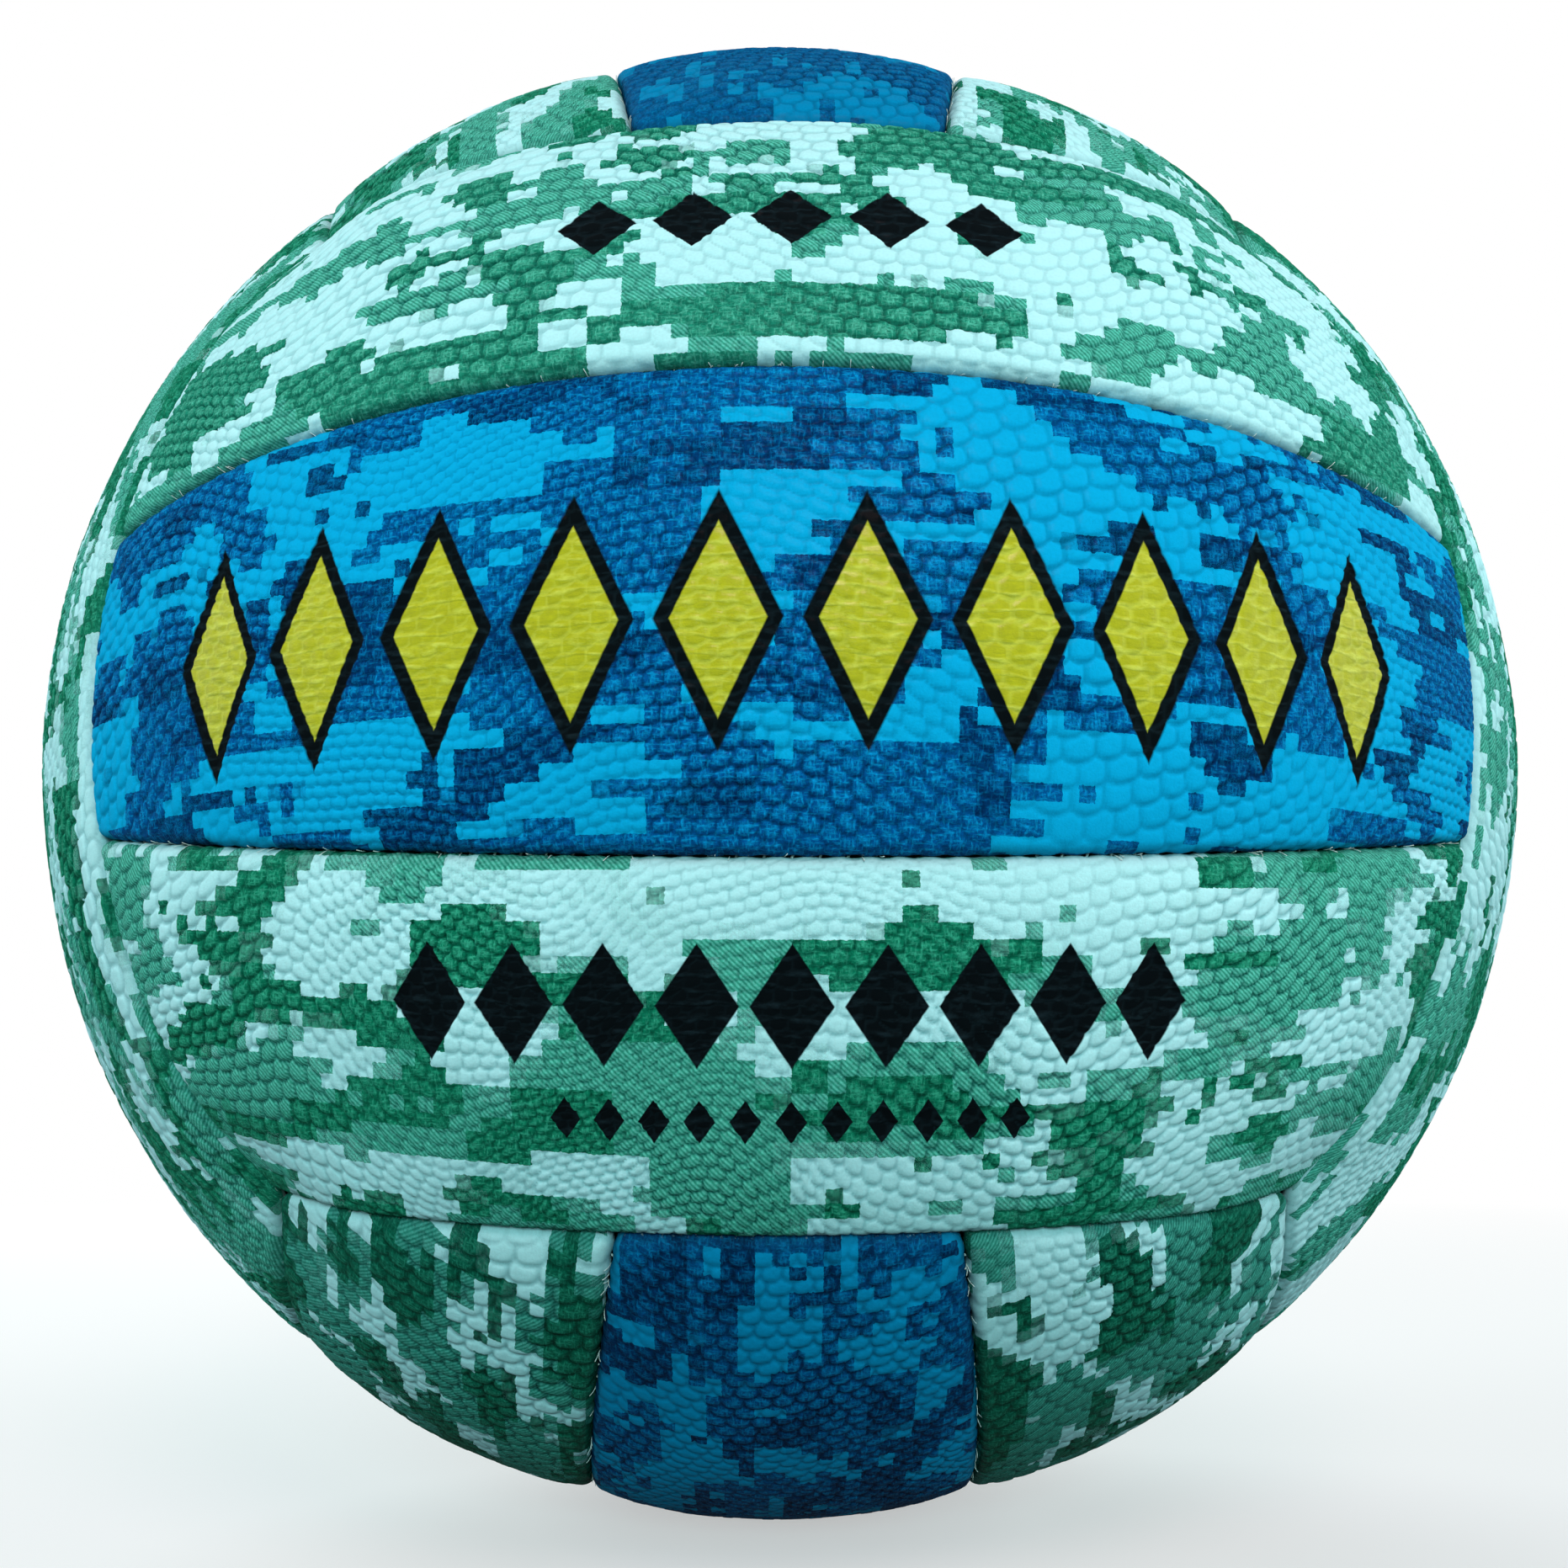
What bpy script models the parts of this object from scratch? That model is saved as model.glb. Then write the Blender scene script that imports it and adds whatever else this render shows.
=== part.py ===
"""An eighteen-panel sewn volleyball: padded cover panels, seam threads, bladder and needle valve.

The origin is the ball's centre, the front face looks along -Y and the top face along +Z. Each of the
six faces is a middle strip between two side strips, and strips of neighbouring faces run at right
angles. Every seam is a circle cut from the ball by a plane, so two patterns make all the panels. They
are modelled facing local +Z with the strip along local X, and the empty of each face turns them round.
"""

import math

import bmesh
import bpy
from mathutils import Matrix, Vector

MM = 0.001

# Ball and panel patterns, with widths measured over the surface
BALL_DIAMETER = 210 * MM
FACE_WIDTH = 136 * MM
MIDDLE_STRIP_WIDTH = 52 * MM
MIDDLE_STRIP_END_WIDTH = 37 * MM

# Cover: a skin turned in at its edges as a hem, with foam behind it and thread along the hems
SKIN_THICKNESS = 1.0 * MM
FOAM_THICKNESS = 3.0 * MM
EDGE_RADIUS = 2.0 * MM
HEM_LENGTH = 0.8 * MM
CROWN_HEIGHT = 0.8 * MM
SEAM_GAP = 0.5 * MM
THREAD_DIAMETER = 0.8 * MM

# Bladder and valve
BLADDER_WALL = 0.8 * MM
NECK_DIAMETER = 9.0 * MM
NECK_RECESS = 0.5 * MM
BORE_DIAMETER = 4.8 * MM
SEAT_DIAMETER = 6.8 * MM
SEAT_DEPTH = 1.6 * MM
FLANGE_DIAMETER = 24.0 * MM
FLANGE_THICKNESS = 1.6 * MM
TAIL_DIAMETER = 8.0 * MM
TAIL_LENGTH = 4.0 * MM
PLUG_END_DIAMETER = 6.4 * MM
PLUG_END_LENGTH = 4.0 * MM
PLUG_END_CHAMFER = 1.0 * MM
NEEDLE_CHANNEL_DIAMETER = 1.6 * MM
NEEDLE_CHANNEL_WALL = 1.5 * MM

# Space kept between pieces that touch
CLEARANCE = 0.3 * MM

# Facets
STRIP_SEGMENTS = 10
MIDDLE_STRIP_ROWS = 4
SIDE_STRIP_ROWS = 3
TURNED_STEPS = 24
BLADDER_RINGS = 10
SHARP_ANGLE = math.radians(40)

# Faces: name, axis that its strips follow, side of the ball, and the names of its two side strips.
# The face looks along the axis after the strips' axis, and its strips lie side by side along the third.
FACES = (
    ("front", 0, -1, "upper", "lower"),
    ("back", 0, 1, "upper", "lower"),
    ("bottom", 1, -1, "right", "left"),
    ("top", 1, 1, "right", "left"),
    ("left", 2, -1, "back", "front"),
    ("right", 2, 1, "back", "front"),
)
VALVE_FACE = "back"

# Colours and roughness
BLUE_PRINT = ((0.02, 0.22, 0.52), 0.45)
GREEN_PRINT = ((0.40, 0.66, 0.52), 0.50)
FOAM = ((0.86, 0.84, 0.76), 0.95)
THREAD = ((0.90, 0.91, 0.88), 0.80)
BLADDER_RUBBER = ((0.05, 0.05, 0.055), 0.60)
VALVE_RUBBER = ((0.03, 0.03, 0.03), 0.55)

RADIUS = BALL_DIAMETER / 2
# Three faces meet on the diagonals of the cube that the faces make
CORNER = 1 / math.sqrt(3)


def larger_root(square, linear, constant):
    return (math.sqrt(linear**2 - 4 * square * constant) - linear) / (2 * square)


def plane_through(first, second):
    """The plane y = offset + slope * z, along x, through two (y, z) points of a ball of radius 1."""
    slope = (second[0] - first[0]) / (second[1] - first[1])
    return first[0] - slope * first[1], slope


def slid(plane, distance):
    """The plane moved along y until the circle that it cuts has gone this distance over the ball."""
    offset, slope = plane
    steepness = math.hypot(1, slope)
    circle_radius = math.sqrt(1 - (offset / steepness) ** 2)
    return offset + distance / RADIUS * circle_radius * steepness, slope


def end_point(plane, end_plane):
    """Where a seam's plane meets the end of its face, at +x, on a ball of radius 1."""
    offset, slope = plane
    end_offset, end_slope = end_plane
    y_start = offset + slope * end_offset
    y_rate = slope * end_slope
    x = larger_root(
        1 + y_rate**2 + end_slope**2,
        2 * (y_start * y_rate + end_offset * end_slope),
        y_start**2 + end_offset**2 - 1,
    )
    return x, y_start + y_rate * x, end_offset + end_slope * x


def face_edge_plane():
    """The long seam of a face. Turned to the next face, the same plane cuts the ends of its strips."""
    half_angle = FACE_WIDTH / BALL_DIAMETER
    return plane_through((math.sin(half_angle), math.cos(half_angle)), (CORNER, CORNER))


def strip_edge_plane():
    """The seam between a middle strip and a side strip, widest at the middle of the face."""
    half_angle = MIDDLE_STRIP_WIDTH / BALL_DIAMETER
    half_end = MIDDLE_STRIP_END_WIDTH / BALL_DIAMETER
    end = end_point((half_end, 0), FACE_EDGE)
    return plane_through((math.sin(half_angle), math.cos(half_angle)), end[1:])


FACE_EDGE = face_edge_plane()
STRIP_EDGE = strip_edge_plane()
# Each pattern lies between two planes, and is divided into rows from the first to the second
MIDDLE_STRIP = ((-STRIP_EDGE[0], -STRIP_EDGE[1]), STRIP_EDGE, MIDDLE_STRIP_ROWS)
SIDE_STRIP = (STRIP_EDGE, FACE_EDGE, SIDE_STRIP_ROWS)

# How far the flat facets of a strip cut inside the round surface
SEGMENT_ANGLE = 2 * (math.pi / 2 - FACE_WIDTH / BALL_DIAMETER) / STRIP_SEGMENTS
FACET_SAG = RADIUS * (1 - math.cos(SEGMENT_ANGLE / 2))

# Depths under the crown of a panel
HEM_DEPTH = CROWN_HEIGHT + EDGE_RADIUS + HEM_LENGTH
THREAD_DEPTH = HEM_DEPTH + CLEARANCE + FACET_SAG + THREAD_DIAMETER / 2
FOAM_TOP_DEPTH = CROWN_HEIGHT + SKIN_THICKNESS + CLEARANCE
FOAM_DEPTH = FOAM_TOP_DEPTH + FOAM_THICKNESS
COVER_DEPTH = max(FOAM_DEPTH, THREAD_DEPTH + THREAD_DIAMETER / 2)
BLADDER_RADIUS = RADIUS - COVER_DEPTH - FACET_SAG - CLEARANCE
BLADDER_INNER_RADIUS = BLADDER_RADIUS - BLADDER_WALL


def strip_direction(strip, along, across, inset):
    """A point on a ball of radius 1, from 0 to 1 along and across a strip drawn in from its seams."""
    first = slid(strip[0], inset)
    last = slid(strip[1], -inset)
    offset = first[0] + across * (last[0] - first[0])
    slope = first[1] + across * (last[1] - first[1])
    end_x, _, end_z = end_point((offset, slope), slid(FACE_EDGE, inset))
    turn = (2 * along - 1) * math.atan2(end_x, end_z)
    lean = slope * math.cos(turn)
    reach = larger_root(1 + lean**2, 2 * offset * lean, offset**2 - 1)
    return Vector((reach * math.sin(turn), offset + lean * reach, reach * math.cos(turn)))


def lofted_strip(name, strip, sections):
    """A closed body over a strip: a crowned grid outside, another inside, and border rings between.

    Each section is (distance in from the seam, depth at the border, crown height). The first is the
    border of the outer grid and the last that of the inner grid.
    """
    rows = strip[2]
    border = [(i, 0) for i in range(STRIP_SEGMENTS)]
    border += [(STRIP_SEGMENTS, j) for j in range(rows)]
    border += [(i, rows) for i in range(STRIP_SEGMENTS, 0, -1)]
    border += [(0, j) for j in range(rows, 0, -1)]
    inside = [(i, j) for i in range(1, STRIP_SEGMENTS) for j in range(1, rows)]
    body = bmesh.new()

    def section_points(section, places):
        inset, depth, crown = section
        points = {}
        for i, j in places:
            along = i / STRIP_SEGMENTS
            across = j / rows
            rise = crown * (1 - (2 * along - 1) ** 2) * (1 - (2 * across - 1) ** 2)
            direction = strip_direction(strip, along, across, inset + SEAM_GAP / 2)
            points[i, j] = body.verts.new(direction * (RADIUS - depth + rise))
        return points

    rings = [section_points(section, border) for section in sections]
    for ring, section in ((rings[0], sections[0]), (rings[-1], sections[-1])):
        ring.update(section_points(section, inside))
        for i in range(STRIP_SEGMENTS):
            for j in range(rows):
                body.faces.new((ring[i, j], ring[i + 1, j], ring[i + 1, j + 1], ring[i, j + 1]))
    for outer, inner in zip(rings, rings[1:]):
        for here, there in zip(border, border[1:] + border[:1]):
            body.faces.new((outer[here], outer[there], inner[there], inner[here]))
    return finished_mesh(name, body)


def skin_mesh(name, strip):
    """The sheet of a panel: rounded over at its seams and turned in to the hem's raw edge."""
    bend = EDGE_RADIUS * (1 - math.cos(math.pi / 4))
    sections = (
        (EDGE_RADIUS, CROWN_HEIGHT, CROWN_HEIGHT),
        (bend, CROWN_HEIGHT + bend, 0),
        (0, CROWN_HEIGHT + EDGE_RADIUS, 0),
        (0, HEM_DEPTH, 0),
        (SKIN_THICKNESS, HEM_DEPTH, 0),
        (EDGE_RADIUS, CROWN_HEIGHT + SKIN_THICKNESS, CROWN_HEIGHT),
    )
    return lofted_strip(name, strip, sections)


def foam_mesh(name, strip):
    """The foam behind a skin, crowned like it outside and following the bladder inside."""
    edge = EDGE_RADIUS + CLEARANCE
    sections = ((edge, FOAM_TOP_DEPTH, CROWN_HEIGHT), (edge, FOAM_DEPTH, 0))
    return lofted_strip(name, strip, sections)


def finished_mesh(name, body):
    """The bmesh as a mesh with its faces pointing out, smooth except at sharp edges."""
    bmesh.ops.recalc_face_normals(body, faces=body.faces)
    mesh = bpy.data.meshes.new(name)
    body.to_mesh(mesh)
    body.free()
    mesh.shade_smooth()
    mesh.set_sharp_from_angle(angle=SHARP_ANGLE)
    return mesh


def turned_mesh(name, profile, closed=False):
    """A profile of (radius, height) points turned round local Z."""
    body = bmesh.new()
    points = [body.verts.new((radius, 0, height)) for radius, height in profile]
    followers = points[1:] + points[:1] if closed else points[1:]
    for point, follower in zip(points, followers):
        body.edges.new((point, follower))
    bmesh.ops.spin(
        body,
        geom=body.verts[:] + body.edges[:],
        cent=(0, 0, 0),
        axis=(0, 0, 1),
        angle=math.tau,
        steps=TURNED_STEPS,
    )
    bmesh.ops.remove_doubles(body, verts=body.verts, dist=0.001 * MM)
    return finished_mesh(name, body)


def thread_curve(name, points):
    """A round thread along the points."""
    curve = bpy.data.curves.new(name, "CURVE")
    curve.dimensions = "3D"
    curve.bevel_depth = THREAD_DIAMETER / 2
    curve.bevel_resolution = 1
    curve.use_fill_caps = True
    spline = curve.splines.new("POLY")
    spline.points.add(len(points) - 1)
    for spline_point, point in zip(spline.points, points):
        spline_point.co = (*point, 1)
    return curve


def material(name, look):
    colour, roughness = look
    made = bpy.data.materials.new(name)
    made.use_nodes = True
    shader = made.node_tree.nodes["Principled BSDF"]
    shader.inputs["Base Color"].default_value = (*colour, 1)
    shader.inputs["Roughness"].default_value = roughness
    shader.inputs["Metallic"].default_value = 0
    made.diffuse_color = (*colour, 1)
    return made


def add(name, data, parent, half_turn=False):
    """A named object on its parent, turned half round the face's middle if asked."""
    made = bpy.data.objects.new(name, data)
    bpy.context.scene.collection.objects.link(made)
    made.parent = parent
    if half_turn:
        made.rotation_euler.z = math.pi
    return made


def face_empty(name, axis, side, parent):
    """The frame of a face: local X along its strips, Y across them and Z out of the ball."""
    axes = Matrix.Identity(3)
    columns = (-side * axes[axis], axes[(axis + 2) % 3], side * axes[(axis + 1) % 3])
    made = add(name + "_face", None, parent)
    made.matrix_local = Matrix(columns).transposed().to_4x4()
    return made


def shortened(points):
    """The path with both ends drawn back, clear of the thread that crosses there."""
    room = THREAD_DIAMETER + CLEARANCE
    first = points[0] + (points[1] - points[0]).normalized() * room
    last = points[-1] + (points[-2] - points[-1]).normalized() * room
    return [first, *points[1:-1], last]


def seam_points(across):
    """The thread's path under one long edge of a side strip."""
    steps = [i / STRIP_SEGMENTS for i in range(STRIP_SEGMENTS + 1)]
    return [strip_direction(SIDE_STRIP, along, across, 0) * (RADIUS - THREAD_DEPTH) for along in steps]


def edge_run_points(start):
    """A thread's path over three seams between faces, one along each axis, from a start corner."""
    corner = list(start)
    path = []
    for axis in range(3):
        outward = (axis + 1) % 3
        sideways = (axis + 2) % 3
        for along, across, out in seam_points(1):
            point = Vector()
            point[axis] = -along * corner[axis]
            point[outward] = out * corner[outward]
            point[sideways] = across * corner[sideways]
            path.append(point)
        corner[axis] = -corner[axis]
        if axis < 2:
            path.pop()
    return shortened(path)


def bladder_mesh():
    """A hollow ball, open where the valve's neck comes through."""
    hole = NECK_DIAMETER / 2 + CLEARANCE
    flange = FLANGE_DIAMETER / 2 + CLEARANCE
    profile = []
    for radius in (BLADDER_RADIUS, BLADDER_INNER_RADIUS):
        flange_angle = math.asin(flange / radius)
        spread = (math.pi - flange_angle) / BLADDER_RINGS
        angles = [math.asin(hole / radius)]
        angles += [flange_angle + i * spread for i in range(BLADDER_RINGS)]
        arc = [(radius * math.sin(angle), radius * math.cos(angle)) for angle in angles]
        arc.append((0, -radius))
        profile.append(arc)
    outer, inner = profile
    return turned_mesh("bladder", outer[::-1] + inner)


def under_bladder(radius):
    """Height at which a piece at this distance from the valve's axis clears the bladder's inside."""
    inner = BLADDER_INNER_RADIUS - CLEARANCE
    return math.sqrt(inner**2 - radius**2)


NECK_TOP = RADIUS - NECK_RECESS
FLANGE_BOTTOM = under_bladder(FLANGE_DIAMETER / 2) - CLEARANCE - FLANGE_THICKNESS
HOUSING_BOTTOM = FLANGE_BOTTOM - TAIL_LENGTH


def housing_mesh():
    """The rubber housing: a flange under the bladder's wall and a neck out through the cover."""
    neck = NECK_DIAMETER / 2
    flange = FLANGE_DIAMETER / 2
    profile = (
        (BORE_DIAMETER / 2, HOUSING_BOTTOM),
        (BORE_DIAMETER / 2, NECK_TOP - SEAT_DEPTH),
        (SEAT_DIAMETER / 2, NECK_TOP - SEAT_DEPTH),
        (SEAT_DIAMETER / 2, NECK_TOP),
        (neck, NECK_TOP),
        (neck, under_bladder(neck) - CLEARANCE),
        (flange, under_bladder(flange) - CLEARANCE),
        (flange, FLANGE_BOTTOM),
        (TAIL_DIAMETER / 2, FLANGE_BOTTOM),
        (TAIL_DIAMETER / 2, HOUSING_BOTTOM),
    )
    return turned_mesh("valve_housing", profile, closed=True)


def core_mesh():
    """The plug: a head in the neck's seat, a shank, a thick end that holds it, and a needle channel."""
    channel = NEEDLE_CHANNEL_DIAMETER / 2
    head = SEAT_DIAMETER / 2 - CLEARANCE
    shank = BORE_DIAMETER / 2 - CLEARANCE
    plug_end = PLUG_END_DIAMETER / 2
    plug_top = HOUSING_BOTTOM - CLEARANCE
    plug_bottom = plug_top - PLUG_END_LENGTH
    profile = (
        (0, plug_bottom + NEEDLE_CHANNEL_WALL),
        (channel, plug_bottom + NEEDLE_CHANNEL_WALL),
        (channel, NECK_TOP),
        (head, NECK_TOP),
        (head, NECK_TOP - SEAT_DEPTH + CLEARANCE),
        (shank, NECK_TOP - SEAT_DEPTH + CLEARANCE),
        (shank, plug_top),
        (plug_end, plug_top),
        (plug_end, plug_bottom + PLUG_END_CHAMFER),
        (plug_end - PLUG_END_CHAMFER, plug_bottom),
        (0, plug_bottom),
    )
    return turned_mesh("valve_core", profile)


def neck_cutter(parent):
    """The round opening that a panel and its foam leave for the valve's neck."""
    hole = NECK_DIAMETER / 2 + CLEARANCE
    bottom = BLADDER_INNER_RADIUS
    top = RADIUS + COVER_DEPTH
    profile = ((0, top), (hole, top), (hole, bottom), (0, bottom))
    cutter = add("neck_cutter", turned_mesh("neck_cutter", profile), parent)
    cutter.hide_render = True
    cutter.display_type = "WIRE"
    return cutter


def cut_neck_hole(panel, cutter):
    hole = panel.modifiers.new("neck_hole", "BOOLEAN")
    hole.operation = "DIFFERENCE"
    hole.solver = "EXACT"
    hole.object = cutter


def build_face(face, meshes, parent):
    """The three panels of a face, their foam, and the threads of its two inner seams."""
    name, axis, side, first_side, second_side = face
    frame = face_empty(name, axis, side, parent)
    for place, pattern, half_turn in (
        (first_side, "side", False),
        ("middle", "middle", False),
        (second_side, "side", True),
    ):
        panel = add(f"{name}_{place}_panel", meshes[pattern + "_skin"], frame, half_turn)
        foam = add(f"{name}_{place}_foam", meshes[pattern + "_foam"], frame, half_turn)
        if pattern == "side":
            add(f"{name}_{place}_seam_thread", meshes["seam_thread"], frame, half_turn)
        elif name == VALVE_FACE:
            cutter = neck_cutter(frame)
            cut_neck_hole(panel, cutter)
            cut_neck_hole(foam, cutter)
    return frame


def build_patterns():
    """The meshes that the faces share, each with its material."""
    thread = material("sewing_thread", THREAD)
    meshes = {
        "middle_skin": skin_mesh("middle_skin", MIDDLE_STRIP),
        "side_skin": skin_mesh("side_skin", SIDE_STRIP),
        "middle_foam": foam_mesh("middle_foam", MIDDLE_STRIP),
        "side_foam": foam_mesh("side_foam", SIDE_STRIP),
        "seam_thread": thread_curve("seam_thread", shortened(seam_points(0))),
    }
    meshes["middle_skin"].materials.append(material("blue_print", BLUE_PRINT))
    meshes["side_skin"].materials.append(material("green_print", GREEN_PRINT))
    foam = material("foam", FOAM)
    meshes["middle_foam"].materials.append(foam)
    meshes["side_foam"].materials.append(foam)
    meshes["seam_thread"].materials.append(thread)
    return meshes


def build_edge_runs(parent, thread):
    """Four threads that sew the faces together, each over three seams."""
    number = 0
    for y_side in (-1, 1):
        for z_side in (-1, 1):
            number += 1
            name = f"edge_seam_thread_{number}"
            curve = thread_curve(name, edge_run_points((y_side * z_side, y_side, z_side)))
            curve.materials.append(thread)
            add(name, curve, parent)


def build_bladder_and_valve(frame):
    valve_rubber = material("valve_rubber", VALVE_RUBBER)
    bladder = add("bladder", bladder_mesh(), frame)
    bladder.data.materials.append(material("bladder_rubber", BLADDER_RUBBER))
    for name, mesh in (("valve_housing", housing_mesh()), ("valve_core", core_mesh())):
        mesh.materials.append(valve_rubber)
        add(name, mesh, frame)


def main():
    for old in list(bpy.data.objects):
        bpy.data.objects.remove(old)
    ball = add("ball", None, None)
    meshes = build_patterns()
    frames = {face[0]: build_face(face, meshes, ball) for face in FACES}
    build_edge_runs(ball, meshes["seam_thread"].materials[0])
    build_bladder_and_valve(frames[VALVE_FACE])


main()
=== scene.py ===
"""The looks of an eighteen-panel sewn volleyball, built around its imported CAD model.

Lengths are in millimetres until a mesh is made. The seams repeat the formulas of the CAD source, so
each dressed panel lies on the panel that it stands for.
"""

import math

import bpy
import numpy as np
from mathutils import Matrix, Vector


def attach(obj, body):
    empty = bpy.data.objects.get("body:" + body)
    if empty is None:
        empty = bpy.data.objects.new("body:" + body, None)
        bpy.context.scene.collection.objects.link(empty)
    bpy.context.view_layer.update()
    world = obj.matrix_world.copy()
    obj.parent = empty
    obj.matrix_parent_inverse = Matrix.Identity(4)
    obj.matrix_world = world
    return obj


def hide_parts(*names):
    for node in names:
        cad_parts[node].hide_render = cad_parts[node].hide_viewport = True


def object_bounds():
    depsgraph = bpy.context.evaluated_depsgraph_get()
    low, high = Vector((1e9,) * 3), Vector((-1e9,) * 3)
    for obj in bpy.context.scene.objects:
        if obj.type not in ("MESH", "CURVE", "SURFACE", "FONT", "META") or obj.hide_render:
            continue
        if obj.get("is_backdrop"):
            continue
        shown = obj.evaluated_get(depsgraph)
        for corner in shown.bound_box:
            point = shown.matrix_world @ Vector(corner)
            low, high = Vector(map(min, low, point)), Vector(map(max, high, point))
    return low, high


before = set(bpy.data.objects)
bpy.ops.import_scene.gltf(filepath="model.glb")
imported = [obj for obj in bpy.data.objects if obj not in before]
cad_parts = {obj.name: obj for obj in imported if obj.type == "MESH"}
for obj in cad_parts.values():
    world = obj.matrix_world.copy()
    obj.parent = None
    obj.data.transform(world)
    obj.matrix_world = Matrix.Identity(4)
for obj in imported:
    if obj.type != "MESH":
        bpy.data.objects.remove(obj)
cad_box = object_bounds()

MM = 0.001

# Ball and panel patterns, as in the CAD source
RADIUS = 105.0
FACE_WIDTH = 136.0
MIDDLE_STRIP_WIDTH = 52.0
MIDDLE_STRIP_END_WIDTH = 37.0
SKIN_THICKNESS = 1.0
EDGE_RADIUS = 2.0
HEM_LENGTH = 0.8
CROWN_HEIGHT = 0.8
THREAD_DEPTH = 4.75
THREAD_RADIUS = 0.4
FOAM_TOP_DEPTH = 2.1
FOAM_DEPTH = 5.1
FOAM_INSET = 2.55
FOAM_EDGE_RADIUS = 1.0
CORNER = 1 / math.sqrt(3)

# Bladder and valve, as in the CAD source
CLEARANCE = 0.3
BLADDER_RADIUS = 99.1
BLADDER_WALL = 0.8
NECK_RADIUS = 4.5
NECK_TOP = 104.5
NECK_HOLE_RADIUS = NECK_RADIUS + CLEARANCE
SEAT_RADIUS = 3.4
SEAT_DEPTH = 1.6
BORE_RADIUS = 2.4
FLANGE_RADIUS = 12.0
FLANGE_BOTTOM = 95.37
FLANGE_THICKNESS = 1.6
FLANGE_TOP_AT_NECK = 97.6
TAIL_RADIUS = 4.0
TAIL_LENGTH = 4.0
PLUG_RADIUS = 3.2
PLUG_LENGTH = 4.0
PLUG_CHAMFER = 1.0
CHANNEL_RADIUS = 0.8
CHANNEL_WALL = 1.5

# Name, axis that the strips follow, side of the ball, and the names of the two side strips
FACES = (
    ("front", 0, -1, "upper", "lower"),
    ("back", 0, 1, "upper", "lower"),
    ("bottom", 1, -1, "right", "left"),
    ("top", 1, 1, "right", "left"),
    ("left", 2, -1, "back", "front"),
    ("right", 2, 1, "back", "front"),
)

# Mesh cells of the pads, and fine cells to each coarse one on their inside
STRIP_COLUMNS = 480
MIDDLE_STRIP_ROWS = 192
SIDE_STRIP_ROWS = 160
FOAM_COLUMNS = 120
FOAM_ROWS = 40
COARSE = 8
HOLE_CELLS = 16
FOAM_HOLE_CELLS = 4

# Edges, corners and holes of the dressed panels
SEAM_GAP = 0.16
BEND_RADIUS = 1.5
ROLL_REACH = 7.0
ROLL_DEPTH = 0.32
PUCKER_PITCH = 3.1
PUCKER_DEPTH = 0.12
CORNER_ROUND = 2.2
SEAM_END_ROUND = 1.2
PIT_DEPTH = 2.2
PIT_REACH = 11.0
HOLE_LIP = 0.9
FOAM_UNDER_INSET = 3.0

# Bake map: the shown side fills most of it, and the inside lies in a band below
MAP_EDGE = 0.01
MAP_SPAN = 0.98
SHOWN_LOW = 0.16
SHOWN_SPAN = 0.83
SHOWN_MIDDLE = (0.5, 0.575)
RING_STEP = 0.004
HIDDEN_SPAN = 0.13
RING_LOW = 0.005
INSIDE_LOW = (0.02, 0.01)
INSIDE_SPAN = (0.96, 0.12)
INSIDE_EDGE = -9.0

# Embossed scales, and how they fade at the ends and sides of a strip
SCALE_LENGTH = 2.5
SCALE_WIDTH = 1.95
SCALE_SHIFT = 0.26
ROW_SHIFT = 0.3
SCALE_HEIGHT = 0.53
SCALE_SINK = 0.33
SCALE_TOP = 0.9
SCALE_TOP_SPREAD = 0.2
SCALE_SLOPE = 0.25
SCALLOP = 0.26
SCALLOP_POWER = 2.5
GROOVE_REACH = 0.64
GROOVE_WIDTH = 0.34
GROOVE_FALL = 0.8
GROOVE_POWER = 2.5
SIDE_GROOVE = 0.8
TOP_REACH = 1.8
END_FADE = 4.5
END_RELIEF = 0.3
SIDE_FADE = 5.0
SIDE_RELIEF = 0.5

# Sweep of the rows, as sizes and wavelengths, and their sway
SWEEPS = ((4.6, 170.0), (1.6, 112.0))
ROW_TILT = 0.15
SWAY, SWAY_LENGTH = 4.6, 12.0
SWAY_BEND, SWAY_BEND_LENGTH = 0.6, 13.0
RIPPLE, RIPPLE_LENGTH, RIPPLE_SLANT = 0.9, 4.6, 17.0
SHEAR, SHEAR_LENGTH = 1.5, 12.0

# Patches of stronger relief, and the swell of the foam under the sheet
PATCH_MEAN, PATCH_SPREAD = 0.8, 0.28
PATCH_LENGTH, PATCH_WIDTH, PATCH_SLANT = 10.0, 8.0, 23.0
SWELL_HEIGHT = 0.07
SWELL_LENGTH, SWELL_WIDTH = 4.6, 4.1
SWELL_BEND, SWELL_BEND_LENGTH = 1.3, 7.0
BROAD_SWELL, BROAD_SWELL_LENGTH, BROAD_SWELL_SLANT = 0.7, 9.5, 13.0

# Panels whose rows turn, wave more, or have larger or smaller scales
ROW_TURNS = {"top": -math.pi / 2, "bottom": -math.pi / 2}
ROW_WAVES = {"front_lower": 1.6}
SCALE_SIZES = {
    "front_upper": 1.02,
    "front_middle": 0.92,
    "front_lower": 0.87,
    "bottom_left": 1.15,
    "bottom_middle": 1.12,
    "bottom_right": 1.15,
}

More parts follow.
